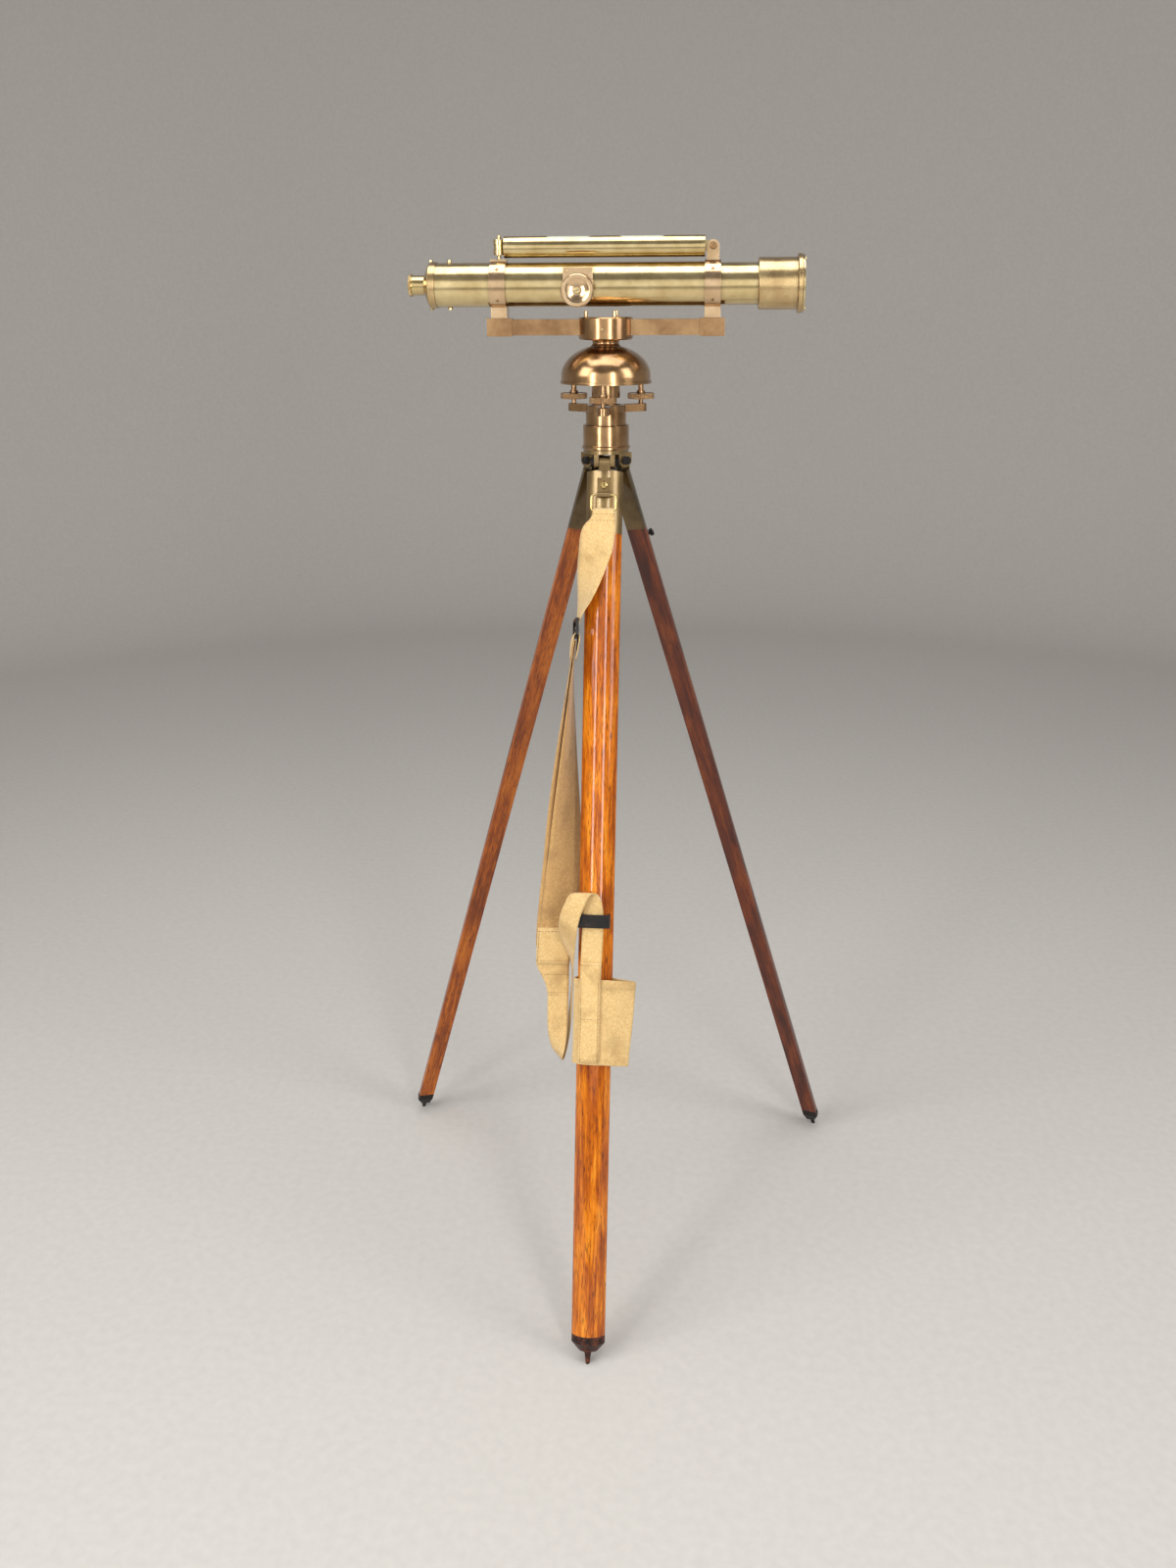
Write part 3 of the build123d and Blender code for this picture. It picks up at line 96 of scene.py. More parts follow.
# %% [markdown]
# Some steps come back in most finishes, so each has a short name: a noise pattern of a given size, a colour
# ramp, a change of range, a step of arithmetic, a colour laid over another, and a bump whose edges are
# softened with the Bevel node, as a file softens them. A finish starts with an empty tree and ends with its
# surface.

# %% Steps of a finish
def new_finish(name):
    made = bpy.data.materials.new(name)
    made.use_nodes = True
    made.node_tree.nodes.clear()
    return made, made.node_tree


def object_place(tree):
    return add(tree, "ShaderNodeTexCoord").outputs["Object"]


def noise(tree, place, size_mm, detail, **others):
    values = {"Scale": 1 / (size_mm * MM), "Detail": detail, **others}
    return add(tree, "ShaderNodeTexNoise", values, {"Vector": place}).outputs["Fac"]


def tinted(tree, share, ramp):
    return add(tree, "ShaderNodeValToRGB", links={"Fac": share}, ramp=ramp).outputs[0]


def ranged(tree, value, given, wanted):
    values = dict(zip(("From Min", "From Max", "To Min", "To Max"), given + wanted))
    return add(tree, "ShaderNodeMapRange", values, {"Value": value}).outputs[0]


def maths(tree, operation, *terms):
    values = {place: term for place, term in enumerate(terms) if isinstance(term, float)}
    links = {place: term for place, term in enumerate(terms) if place not in values}
    return add(tree, "ShaderNodeMath", values, links, operation=operation).outputs[0]


def laid_over(tree, share, under, code):
    return add(tree, "ShaderNodeMix", {"B": linear(code)}, {"Factor": share, "A": under},
               data_type="RGBA").outputs[2]


def soft_bump(tree, height, strength, depth_mm, edge_mm):
    soft = add(tree, "ShaderNodeBevel", {"Radius": edge_mm * MM}, samples=4)
    return add(tree, "ShaderNodeBump", {"Strength": strength, "Distance": depth_mm * MM},
               {"Height": height, "Normal": soft.outputs["Normal"]}).outputs[0]


def surface(tree, values, links):
    shader = add(tree, "ShaderNodeBsdfPrincipled", values, links)
    add(tree, "ShaderNodeOutputMaterial", links={"Surface": shader.outputs[0]})


print("steps: noise, ramp, range, arithmetic, overlay, bump, surface")

# %% [markdown]
# Old instrument metal is cast or drawn, turned on a lathe, polished and lacquered. The eye sees three
# things: faint turning lines round the axis, cloudy patches where the lacquer has aged, and dark corners,
# which are painted shade with some dirt in them. A picture could be wrapped on, but nodes in object
# coordinates need no file and keep their size on every piece. One function makes all the yellow and red
# metals, because only colour, sheen and lines differ. A metal keeps the default IOR.

# %% Instrument metals
def instrument_metal(name, pale, middle, dark, roughness, axis="X", line_mm=0.9, line_depth=0.05):
    made, tree = new_finish(name)
    place = object_place(tree)
    cloud = noise(tree, place, size_mm=26, detail=4.0, Roughness=0.62)
    tint = tinted(tree, cloud, [(0.30, middle), (0.72, pale)])
    split = add(tree, "ShaderNodeSeparateXYZ", links={"Vector": place})
    lines = add(tree, "ShaderNodeTexNoise", {"Scale": 1 / (line_mm * MM), "Detail": 2.0},
                {"W": split.outputs[axis]}, noise_dimensions="1D")
    # Ambient occlusion finds the hollows, and the colour is darkened there: painted shade, with some dirt.
    hollow = add(tree, "ShaderNodeAmbientOcclusion", {"Distance": 7 * MM}, samples=4)
    hollow_shade_and_grime = ranged(tree, hollow.outputs["AO"], (0.25, 0.85), (0.62, 0.0))
    gloss = ranged(tree, cloud, (0.0, 1.0), (roughness * 0.75, roughness * 1.3))
    surface(tree, {"Metallic": 1.0, "Coat Weight": 0.6, "Coat Roughness": 0.06},
            {"Base Color": laid_over(tree, hollow_shade_and_grime, tint, dark), "Roughness": gloss,
             "Normal": soft_bump(tree, lines.outputs["Fac"], line_depth, depth_mm=0.2, edge_mm=0.5)})
    return made


tube_brass = instrument_metal("lacquered drawn brass", "#EAD6A2", "#CBB076", "#3E2E18", 0.2)
turned_brass = instrument_metal("lacquered turned brass", "#DDC28E", "#BC9C6A", "#3E2C18", 0.26,
                                line_mm=1.4, line_depth=0.16)
gunmetal = instrument_metal("polished gunmetal", "#BF9A6C", "#966F48", "#2F1F14", 0.22, "Z", 1.3, 0.08)
# A paler copy of the gunmetal for the collars, the limb screws and the focusing gear: painted light.
lit_gunmetal = instrument_metal("lit polished gunmetal", "#E8C9A0", "#C8A67A", "#2F1F14", 0.2, "Z", 1.3, 0.08)
cap_brass = instrument_metal("worn sheet brass", "#A68C60", "#7E6844", "#302416", 0.34, "Z", 1.6, 0.1)
# A darker copy of the sheet brass for the caps of the two rear legs: painted shade.
shade_darkened_brass = instrument_metal("shade darkened sheet brass", "#7E6842", "#544328", "#1C140C", 0.36,
                                   "Z", 1.6, 0.1)
bright_brass = instrument_metal("bright brass wire", "#E6CF92", "#C7A45C", "#5A431F", 0.22, "Z")
print("metals", [m.name for m in bpy.data.materials])

# %% [markdown]
# The feet, bolts, keeper and buckle are iron, forged and then japanned: a black stove varnish that is glossy
# where it is whole and shows brown rust where stones and boots have rubbed it. One noise drives colour,
# sheen and bump together, so that the iron is dull and rough just where it is brown.

# %% Japanned iron
RUST_EDGE = 0.16


def japanned_iron(name, coat, rust, wear):
    made, tree = new_finish(name)
    rubbed = noise(tree, object_place(tree), size_mm=7, detail=6.0, Roughness=0.7)
    surface(tree, {"Metallic": 0.35},
            {"Base Color": tinted(tree, rubbed, [(wear, coat), (wear + RUST_EDGE, rust)]),
             "Roughness": ranged(tree, rubbed, (wear, wear + RUST_EDGE), (0.34, 0.68)),
             "Normal": soft_bump(tree, rubbed, strength=0.25, depth_mm=0.3, edge_mm=0.6)})
    return made


black_iron = japanned_iron("japanned iron", "#171412", "#3B2A20", 0.56)
foot_iron = japanned_iron("worn foot iron", "#2E1610", "#66351F", 0.46)
print("irons", black_iron.name, "and", foot_iron.name)

# %% [markdown]
# Each leg leans another way, so it has a frame of its own at its hinge: out from the pole, to the side, and
# up along the wood. Places on a leg are given in millimetres out, to the side and down from the hinge. In
# world coordinates the same numbers would change with the spread of the legs.

# %% The leg frames
SPREAD = math.radians(18.0)
HINGE_RADIUS, HINGE_HEIGHT = 21.0 * MM, 1048.657 * MM
LEG_AZIMUTHS = {"front": -90.0, "right": 30.0, "left": 150.0}


def leg_axes(leg):
    turn = math.radians(LEG_AZIMUTHS[leg])
    away, up = Vector((math.cos(turn), math.sin(turn), 0)), Vector((0, 0, 1))
    out = away * math.cos(SPREAD) + up * math.sin(SPREAD)
    rise = up * math.cos(SPREAD) - away * math.sin(SPREAD)
    return away * HINGE_RADIUS + up * HINGE_HEIGHT, out, rise.cross(out), rise


def on_leg(leg, out_mm, side_mm, drop_mm):
    origin, out, side, rise = leg_axes(leg)
    return origin + (out * out_mm + side * side_mm - rise * drop_mm) * MM


for leg in LEG_AZIMUTHS:
    print(leg, "foot near", [round(c, 3) for c in on_leg(leg, -10, 0, 1100)])

# %% [markdown]
# The legs are Cuban mahogany, planed along the grain and French polished. Three patterns lie along the leg:
# a broad figure a few centimetres wide, streaks a few millimetres wide, and the short dark pores that name
# the wood. Upright patterns would run across a leaning leg, so a Mapping node turns them to the leg's own
# frame, and others stretch them along it. The pores are drawn 1.1 mm wide, coarser than the real third of a
# millimetre, so that they show.

# %% French polished mahogany
def mahogany(leg, tones):
    made, tree = new_finish("french polished mahogany " + leg)
    origin, out, side, rise = leg_axes(leg)
    into = Matrix((out, side, rise))
    along = add(tree, "ShaderNodeMapping", {"Rotation": into.to_euler(), "Location": -(into @ origin)},
                {"Vector": object_place(tree)})

    def stretched(share, size_mm, detail, **others):
        space = add(tree, "ShaderNodeMapping", {"Scale": (1.0, 1.0, share)}, {"Vector": along.outputs[0]})
        return noise(tree, space.outputs[0], size_mm, detail, **others)

    figure = stretched(share=0.2, size_mm=15, detail=3.0, Distortion=0.5)
    streak = stretched(share=0.05, size_mm=3.0, detail=5.0, Roughness=0.66)
    pore = stretched(share=0.1, size_mm=1.1, detail=1.0)
    grain = maths(tree, "MULTIPLY_ADD", streak, 0.45, maths(tree, "MULTIPLY", figure, 0.55))
    colour = tinted(tree, grain, zip((0.33, 0.45, 0.54, 0.68), tones))
    pits = ranged(tree, pore, (0.56, 0.68), (0.0, 0.7))
    surface(tree, {"Roughness": 0.5, "Specular IOR Level": 0.05, "Coat Weight": 0.9, "Coat Roughness": 0.07,
                   "Coat IOR": 1.5},
            {"Base Color": laid_over(tree, pits, colour, "#3B170A"),
             "Normal": soft_bump(tree, grain, strength=0.12, depth_mm=0.2, edge_mm=1.2)})
    return made


# The three legs are copies of one mahogany: the front leg's tones are made lighter as painted light, the
# right leg's darker as painted shade, and the left leg's lie between.
LEG_LIGHT_AND_SHADE_TONES = {"front": ("#7A3206", "#AC5406", "#D2740C", "#E89A2E"),
             "left": ("#5E2504", "#8A4006", "#B05A0C", "#CA7A22"),
             "right": ("#381002", "#521C03", "#6E2D07", "#8A4512")}
mahogany_of = {leg: mahogany(leg, tones) for leg, tones in LEG_LIGHT_AND_SHADE_TONES.items()}
print("woods", [made.name for made in mahogany_of.values()])

# %% [markdown]
# The lenses are clear glass. The level's vial is glass as well, nearly full of pale spirit, with a bed of
# white plaster under it, so it reads as a pale strip in the window. The spirit could be modelled inside, but
# glass that lets less light through gives the same strip with less noise.

# %% Glass
def clear_glass(name, tint, clear):
    made, tree = new_finish(name)
    ripple = noise(tree, object_place(tree), size_mm=30, detail=1.0)
    bump = add(tree, "ShaderNodeBump", {"Strength": 0.02, "Distance": 0.1 * MM}, {"Height": ripple})
    surface(tree, {"Base Color": linear(tint), "Roughness": 0.02, "IOR": 1.5, "Transmission Weight": clear},
            {"Normal": bump.outputs[0]})
    return made


lens_glass = clear_glass("ground crown glass", "#EEF6F0", 1.0)
vial_glass = clear_glass("spirit vial glass", "#EDF0DC", 0.35)
print("glasses", lens_glass.name, "and", vial_glass.name)

# %% [markdown]
# Each CAD node takes the finish of its record slot, apart from a few that the photograph shows otherwise:
# turned brass with visible lines on the objective and the eye end; a paler copy of the gunmetal on the
# collars, the limb screws and the focusing gear, which is painted light; gunmetal on the head's socket;
# caps on the two rear legs darkened as painted shade; a worn front shoe; a black buckle; and on each leg a
# copy of the mahogany made lighter or darker as painted light and shade. The cloth solids are replaced
# later, so what they wear here never shows.

# %% Give every CAD node its finish
SLOT_FINISH = {"tube_brass": tube_brass, "gunmetal": gunmetal, "cap_brass": cap_brass,
               "bright_brass": bright_brass, "black_iron": black_iron, "glass": lens_glass}
OTHER_FINISH = [(turned_brass, ("objective_cell", "objective_ring", "eye_end_plate")),
                (lit_gunmetal, ("left_collar", "right_collar", "pinion_box", "focus_knob", "limb_screws")),
                (gunmetal, ("head_socket",)),
                (shade_darkened_brass, ("left_leg_cap", "right_leg_cap")),
                (foot_iron, ("front_leg_shoe",)),
                (black_iron, ("sling_buckle", "buckle_tongue")),
                (vial_glass, ("bubble_vial",))]
finish_of = {name: made for made, names in OTHER_FINISH for name in names}
finish_of.update({leg + "_leg": made for leg, made in mahogany_of.items()})
slot_of = {row["node"]: row["material_slot"] for row in frame["record"]["subparts"]}
for name, piece in nodes.items():
    piece.data.materials.clear()
    piece.data.materials.append(finish_of.get(name) or SLOT_FINISH.get(slot_of[name], cap_brass))
print("finishes given to", len(nodes), "nodes")

# %% [markdown]
# The sling's webbing is plain-woven cotton, undyed and darkened by handling. Warp and weft cross in a fine
# check. Modelled threads would need millions of faces, so two crossed sine waves on the UV map stand for
# them. Real threads are about 0.8 mm apart; they are drawn 1.7 mm apart across and 1.3 mm along, so that
# the weave shows in the picture. Soft stains a few centimetres wide keep the tan from being even. The
# doubled run is a darker tan than the rest: painted shade, for the shade it hangs in.

# %% Cotton canvas
def cotton_canvas(name, pale, tan, stain):
    made, tree = new_finish(name)
    cloth = add(tree, "ShaderNodeSeparateXYZ", links={"Vector": add(tree, "ShaderNodeUVMap").outputs[0]})
    warp, weft = (maths(tree, "SINE", maths(tree, "MULTIPLY", cloth.outputs[axis],
                                            2 * math.pi / (pair_mm * MM)))
                  for axis, pair_mm in (("X", 3.4), ("Y", 2.6)))
    weave = maths(tree, "MULTIPLY", warp, weft)
    place = object_place(tree)
    slub = noise(tree, place, size_mm=2.2, detail=3.0)
    blotch = noise(tree, place, size_mm=34, detail=4.0)
    colour = tinted(tree, slub, [(0.35, tan), (0.66, pale)])
    dirty = laid_over(tree, ranged(tree, blotch, (0.52, 0.74), (0.0, 0.6)), colour, stain)
    # The low places of the weave are darkened in colour: painted shade between the threads.
    shade = ranged(tree, weave, (-1.0, 1.0), (0.78, 1.06))
    woven = add(tree, "ShaderNodeVectorMath", links={0: dirty, 1: shade}, operation="MULTIPLY")
    rough = maths(tree, "MULTIPLY_ADD", slub, 0.35, weave)
    bump = add(tree, "ShaderNodeBump", {"Strength": 0.45, "Distance": 0.35 * MM}, {"Height": rough})
    surface(tree, {"Roughness": 0.92, "Sheen Weight": 0.25, "Sheen Roughness": 0.5},
            {"Base Color": woven.outputs[0], "Normal": bump.outputs[0]})
    return made


canvas = cotton_canvas("undyed cotton canvas", "#E8C98D", "#D6AD6F", "#9F7844")
shaded_canvas = cotton_canvas("shade darkened cotton canvas", "#CFA76C", "#B98D54", "#86623A")
print("cloths", canvas.name, "and", shaded_canvas.name)

# %% [markdown]
# A piece that is made here starts as a form of points and faces. These helpers turn it into a plain mesh and
# put it in the scene. Cloth also says which body it rides on. Each cloth
# face gets its UV places as it is made, because an unwrap afterwards would lose the real sizes.

# %% From a form to a piece
def put(name, data):
    piece = bpy.data.objects.new(name, data)
    bpy.context.scene.collection.objects.link(piece)
    return piece


def formed(name, form, made, smooth):
    mesh = bpy.data.meshes.new(name)
    form.to_mesh(mesh)
    form.free()
    for face in mesh.polygons:
        face.use_smooth = smooth
    mesh.materials.append(made)
    return put(name, mesh)


def cloth_piece(name, form, cloth):
    bmesh.ops.recalc_face_normals(form, faces=form.faces)
    piece = formed(name, form, cloth, True)
    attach(piece, "front_leg")
    return piece


def charted_face(form, chart, corners, places):
    face = form.faces.new(corners)
    for loop, place in zip(face.loops, places):
        loop[chart].uv = place


print("cloth rides on the front leg")

# %% [markdown]
# The carrying sling is cotton webbing, woven 50 mm wide, with a 26 mm tail. Webbing bends along its length
# and hardly at all across its width, so each run is modelled as a ribbon. A simulation could drape it, but
# an old strap keeps its set, and stations can follow the photograph. A station down the front leg is five
# numbers: drop, side, out and width in millimetres, and twist in degrees. A smooth curve joins the stations,
# and a flat section with thin selvedges is carried along. The UV map holds real metres, across and along,
# so that the weave follows every bend.

# %% Ribbons of webbing
ROW_GAP, FEWEST_ROWS = 4.0, 4
ACROSS = np.linspace(-0.5, 0.5, 9)
SELVEDGE_THINNING, SELVEDGE_POWER = 0.5, 6
Section = namedtuple("Section", "middle edge face width run")


def smooth_rows(stations):
    stations = np.array(stations, float)
    steps = np.linalg.norm(np.diff(stations[:, :3], axis=0), axis=1)
    knots = np.concatenate([[0], np.cumsum(steps)])
    slopes = np.gradient(stations, knots, axis=0)
    rows = []
    for place in np.linspace(0, knots[-1], max(int(knots[-1] / ROW_GAP), FEWEST_ROWS)):
        i = min(int(np.searchsorted(knots, place, "right")) - 1, len(knots) - 2)
        span = knots[i + 1] - knots[i]
        t = (place - knots[i]) / span
        rows.append((2 * t ** 3 - 3 * t ** 2 + 1) * stations[i] + (3 * t ** 2 - 2 * t ** 3) * stations[i + 1]
                    + span * ((t ** 3 - 2 * t ** 2 + t) * slopes[i] + (t ** 3 - t ** 2) * slopes[i + 1]))
    return np.array(rows)


def sections(stations):
    _, out, side, _ = leg_axes("front")
    rows = smooth_rows(stations)
    middles = [on_leg("front", out_mm, side_mm, drop_mm) for drop_mm, side_mm, out_mm, _, _ in rows]
    made, run = [], 0.0
    for i, (middle, (_, _, _, width_mm, twist)) in enumerate(zip(middles, rows)):
        forward = middles[min(i + 1, len(rows) - 1)] - middles[max(i - 1, 0)]
        turn = math.radians(twist)
        edge = side * math.cos(turn) + out * math.sin(turn)
        run += (middle - middles[i - 1]).length if i else 0.0
        made.append(Section(middle, edge, forward.cross(edge).normalized(), width_mm * MM, run))
    return made


def ribbon(name, stations, thick_mm, lift=lambda share: 0.0, shift_mm=0.0, cloth=canvas):
    parts = sections(stations)
    length = parts[-1].run
    form = bmesh.new()
    chart = form.loops.layers.uv.new("cloth")
    half = [thick_mm / 2 * MM * (1 - SELVEDGE_THINNING * (2 * abs(a)) ** SELVEDGE_POWER) for a in ACROSS]
    rings, charts = [], []
    for middle, edge, face, width, run in parts:
        raised = middle + (face * lift(run / length) + edge * shift_mm) * MM
        top = [raised + edge * a * width + face * h for a, h in zip(ACROSS, half)]
        back = [raised + edge * a * width - face * h for a, h in zip(ACROSS, half)][::-1]
        rings.append([form.verts.new(p) for p in top + back])
        charts.append([(a * width, run) for a in list(ACROSS) + list(ACROSS[::-1])])
    count = len(rings[0])
    for i in range(len(rings) - 1):
        for j in range(count):
            k = (j + 1) % count
            charted_face(form, chart, *([grid[i][j], grid[i][k], grid[i + 1][k], grid[i + 1][j]]
                                        for grid in (rings, charts)))
    for end in (0, -1):
        charted_face(form, chart, rings[end], charts[end])
    area = sum((b.run - a.run) * (a.width + b.width) / 2 for a, b in zip(parts, parts[1:]))
    return cloth_piece(name, form, cloth), length, area


print("a ribbon has", len(ACROSS), "points across")

# %% [markdown]
# The upper run starts behind the wire loop, folds over its lower bar and comes down the front of the leg's
# cap. It is gathered at the loop, opens to full width, and twists until it goes edge on into the buckle.

# %% The run from the loop to the buckle
LOOP_DROP, LOOP_OUT, FOLD_RADIUS, GATHERED = 64.0, 9.4, 2.6, 27
loop_fold = [(LOOP_DROP + FOLD_RADIUS * math.sin(math.radians(a)), 0.4,
              LOOP_OUT - FOLD_RADIUS * math.cos(math.radians(a)), GATHERED, 0) for a in (0, -60, -120, -180)]
upper_run = [(84, 0.2, 8.3, 29, 2), (74, 0.4, 7.1, 27, 0)] + loop_fold + [
    (72, 0, 12.2, 29, 0), (84, -4.5, 11.7, 41, 6), (98, -7, 11, 46, 14), (112, -8.5, 10.4, 47, 20),
    (136, -13, 9.2, 48, 35), (160, -17.5, 7, 49, 52), (182, -23, 2.5, 50, 67), (198, -28.5, -1.5, 50, 78),
    (212, -31.6, -3, 50, 81)]
sling_upper, upper_length, upper_area = ribbon("sling_upper_web", upper_run, thick_mm=1.7)
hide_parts("sling_upper")
print("upper run", round(upper_length, 3), "m")

# %% [markdown]
# Below the buckle the webbing is doubled: it goes round the buckle's lower bar and back on itself, so two
# layers hang side by side with a dark slit between them. Their ends are sewn together under a patch, and
# below it the cloth is cut down to the width of the tail.

# %% The doubled run, the patch and the taper
LAYER_GAP, LAYER_BULGE, LAYER_SHIFT = 1.1, 1.6, 2.0
lower_run = [(229, -34.8, -4.2, 50, 82), (260, -37, -6, 50, 86), (330, -40.5, -10.5, 50, 99),
             (400, -43, -16, 50, 115), (450, -44, -20, 50, 129), (500, -45, -24, 49, 144),
             (550, -48.5, -27, 47, 160), (590, -52, -28.5, 45, 171), (612, -53.5, -29, 43, 175)]
# Both layers wear the darker canvas, which is painted shade.
for layer, way in (("back", 1.0), ("front", -1.0)):
    run, length, area = ribbon(
        "sling_lower_" + layer, lower_run, thick_mm=1.8, shift_mm=way * LAYER_SHIFT, cloth=shaded_canvas,
        lift=lambda share: way * (LAYER_GAP + LAYER_BULGE * math.sin(math.pi * share) ** 2))
    if layer == "front":
        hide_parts("sling_lower")
fold_run = [(252, -32.2, -5.4, 49, 85), (236, -30.4, -4.6, 49, 82), (225, -29.4, -3.6, 49, 81),
            (220.6, -30.6, -3.2, 49, 81), (219.6, -33, -3, 49, 81), (220.6, -35.4, -3.2, 49, 81),
            (225, -36.8, -3.6, 49, 81), (238, -38.4, -4.6, 49, 82), (254, -39.2, -5.6, 49, 85)]
fold_over, length, area = ribbon("sling_fold", fold_run, thick_mm=1.8)
patch_run = [(588, -52, -25.2, 45, -9), (610, -53.5, -25.7, 44, -6), (633, -55, -26, 42, -4)]
patch, length, area = ribbon("sling_patch", patch_run, thick_mm=1.6)
taper_run = [(606, -53.5, -28.9, 42, -6), (624, -54.6, -28.9, 41.5, -4), (635, -55, -28.8, 41, -4),
             (648, -51.5, -28.6, 34, -4), (660, -48.6, -28.4, 28.5, -4), (672, -47.6, -28.2, 26, -4)]
taper, length, area = ribbon("sling_taper", taper_run, thick_mm=2.0)
print("doubled run with patch and taper made")

# %% [markdown]
# The narrow tail hangs in a loop, comes up again beside the sleeve, arches over in front of the leg, passes
# under the black keeper and is sewn down the face of the sleeve under a second strip.

# %% The tail
tail_run = [
    (664, -47.8, -28.2, 26, -4), (690, -47.6, -28, 26, 4), (712, -47.4, -28.2, 26, 16),
    (728, -47, -29, 26, 34), (741, -45.8, -31, 26, 56), (748, -43.6, -34.5, 26, 74),
    (748.5, -41, -38, 26, 80), (742, -38.5, -41, 26, 82), (728, -36.2, -42.8, 26, 80),
    (705, -34, -42, 26, 77), (675, -31.8, -37.5, 26, 81), (650, -30.6, -31, 26, 84),
    (630, -30.2, -22, 26, 78), (612, -31.6, -8, 26, 60), (594, -33.4, 5, 26, 36),
    (576, -32.4, 14, 26, 16), (556, -26, 19.5, 26, 4), (541, -17.5, 17, 26, 0),
    (541, -11, 12, 26, 0), (548, -6.5, 9.7, 26, 0), (562, -3.5, 9.2, 26, 0),
    (600, -3.5, 8.5, 26, 0), (645, -4.6, 8.9, 26, 0), (694, -5, 9.1, 26, 0), (742, -5.4, 9.1, 26, 0)]
tail, tail_length, area = ribbon("sling_tail_web", tail_run, thick_mm=1.8)
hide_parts("sling_tail")
cover_run = [(624, -4.2, 10.5, 25, 0), (645, -4.6, 10.8, 25, 0), (694, -5, 11, 25, 0),
             (743.5, -5.4, 11, 25, 0)]
cover, length, area = ribbon("sling_tail_cover", cover_run, thick_mm=1.6)
print("tail", round(tail_length, 3), "m")

# %% [markdown]
# The sleeve is a flat canvas tube that the closed legs slip into. Round one leg it is half empty, so it
# lies against the wood on the left and flattens beyond it on the right, with its lower right corner pulled
# in. Rings of a smooth closed outline are stacked down the leg, which keeps the outline that is seen; hems
# are thicker bands at both ends.

# %% The sleeve
SLEEVE_OUTLINE = [(-2, -24.4), (5, -15), (7.3, -4), (7.3, 8), (4.2, 22), (-3, 38), (-10, 50), (-13.2, 40),
                  (-17, 24), (-25.4, 2), (-22, -16), (-12, -25.6)]
CURVE_POINTS = 5
SLEEVE_TOP, SLEEVE_LONG, SLEEVE_THICK = 645, 102, 1.7
UPPER_HEM_END, LOWER_HEM_START, HEM_EXTRA, LIP_ROUND = 9.4, 91.5, 0.55, 0.5
EMPTY_START, EMPTY_WIDE, EMPTY_SAG = 14, 36, 3.5
SWAY, SWAY_ROUND, SWAY_DOWN = 0.7, 9, 14
CORNER_PULL, PULL_POWER = 8, 1.5
SLEEVE_ROWS = np.concatenate([[0, 0.6], np.linspace(1.2, 9, 4), np.linspace(9.8, 91, 20),
                              np.linspace(92, 100.4, 4), [101.2, SLEEVE_LONG]])


def closed_curve(points):
    points = np.array(points, float)
    made = []
    for i in range(len(points)):
        p0, p1, p2, p3 = (points[(i + k) % len(points)] for k in (-1, 0, 1, 2))
        for t in np.arange(CURVE_POINTS) / CURVE_POINTS:
            made.append(0.5 * (2 * p1 + (p2 - p0) * t + (2 * p0 - 5 * p1 + 4 * p2 - p3) * t ** 2
                               + (3 * p1 - p0 - 3 * p2 + p3) * t ** 3))
    return np.array(made)


def sleeve_cloth():
    outline = closed_curve(SLEEVE_OUTLINE)
    inward = np.roll(outline, -1, 0) - np.roll(outline, 1, 0)
    inward = np.stack([-inward[:, 1], inward[:, 0]], 1) / np.linalg.norm(inward, axis=1)[:, None]
    if ((outline + inward) ** 2).sum() > ((outline - inward) ** 2).sum():
        inward = -inward
    closed = np.vstack([outline, outline[:1]])
    rounds = np.concatenate([[0], np.cumsum(np.linalg.norm(np.diff(closed, axis=0), axis=1))])
    form = bmesh.new()
    chart = form.loops.layers.uv.new("cloth")
    outer, inner = [], []
    for step in SLEEVE_ROWS:
        hem = HEM_EXTRA if step < UPPER_HEM_END or step > LOWER_HEM_START else 0.0
        lip = LIP_ROUND if step in (0, SLEEVE_LONG) else 0.0
        for rings, depth in ((outer, -hem + lip), (inner, SLEEVE_THICK - lip)):
            ring = []
            for (out, side), (inward_out, inward_side), around in zip(outline, inward, rounds):
                empty = max(side - EMPTY_START, 0) / EMPTY_WIDE
                sway = SWAY * math.sin(around / SWAY_ROUND + step / SWAY_DOWN) * empty
                pulled = side - empty * CORNER_PULL * (step / SLEEVE_LONG) ** PULL_POWER
                ring.append(form.verts.new(on_leg("front", out + inward_out * depth + sway,
                                                  pulled + inward_side * depth,
                                                  SLEEVE_TOP + step + empty * EMPTY_SAG)))
            rings.append(ring)
    count = len(outline)
    for rings in (outer, inner):
        for i in range(len(SLEEVE_ROWS) - 1):
            for j in range(count):
                corners = [(i, j), (i, j + 1), (i + 1, j + 1), (i + 1, j)]
                charted_face(form, chart, [rings[a][b % count] for a, b in corners],
                             [(rounds[b] * MM, SLEEVE_ROWS[a] * MM) for a, b in corners])
    for end in (0, -1):
        for j in range(count):
            k = (j + 1) % count
            charted_face(form, chart, (outer[end][j], outer[end][k], inner[end][k], inner[end][j]),
                         [(rounds[b] * MM, SLEEVE_ROWS[end] * MM) for b in (j, j + 1, j + 1, j)])
    return cloth_piece("sleeve_cloth", form, canvas), rounds[-1] * MM


sleeve, sleeve_round = sleeve_cloth()
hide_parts("leg_sleeve")
front_out = leg_axes("front")[1]
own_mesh(sleeve)
print("sleeve", round(sleeve_round, 3), "m round")

# %% [markdown]
# The bubble case has two slots along its top, each closed by a curved cover glass with round ends. From the
# front only the crown of each glass shows, as a pale strip. It could be cut from a tube with a boolean, but
# a grid that is bent over the case's own axis has cleaner edges: the top faces lie on one cylinder and the
# under side on a smaller one.

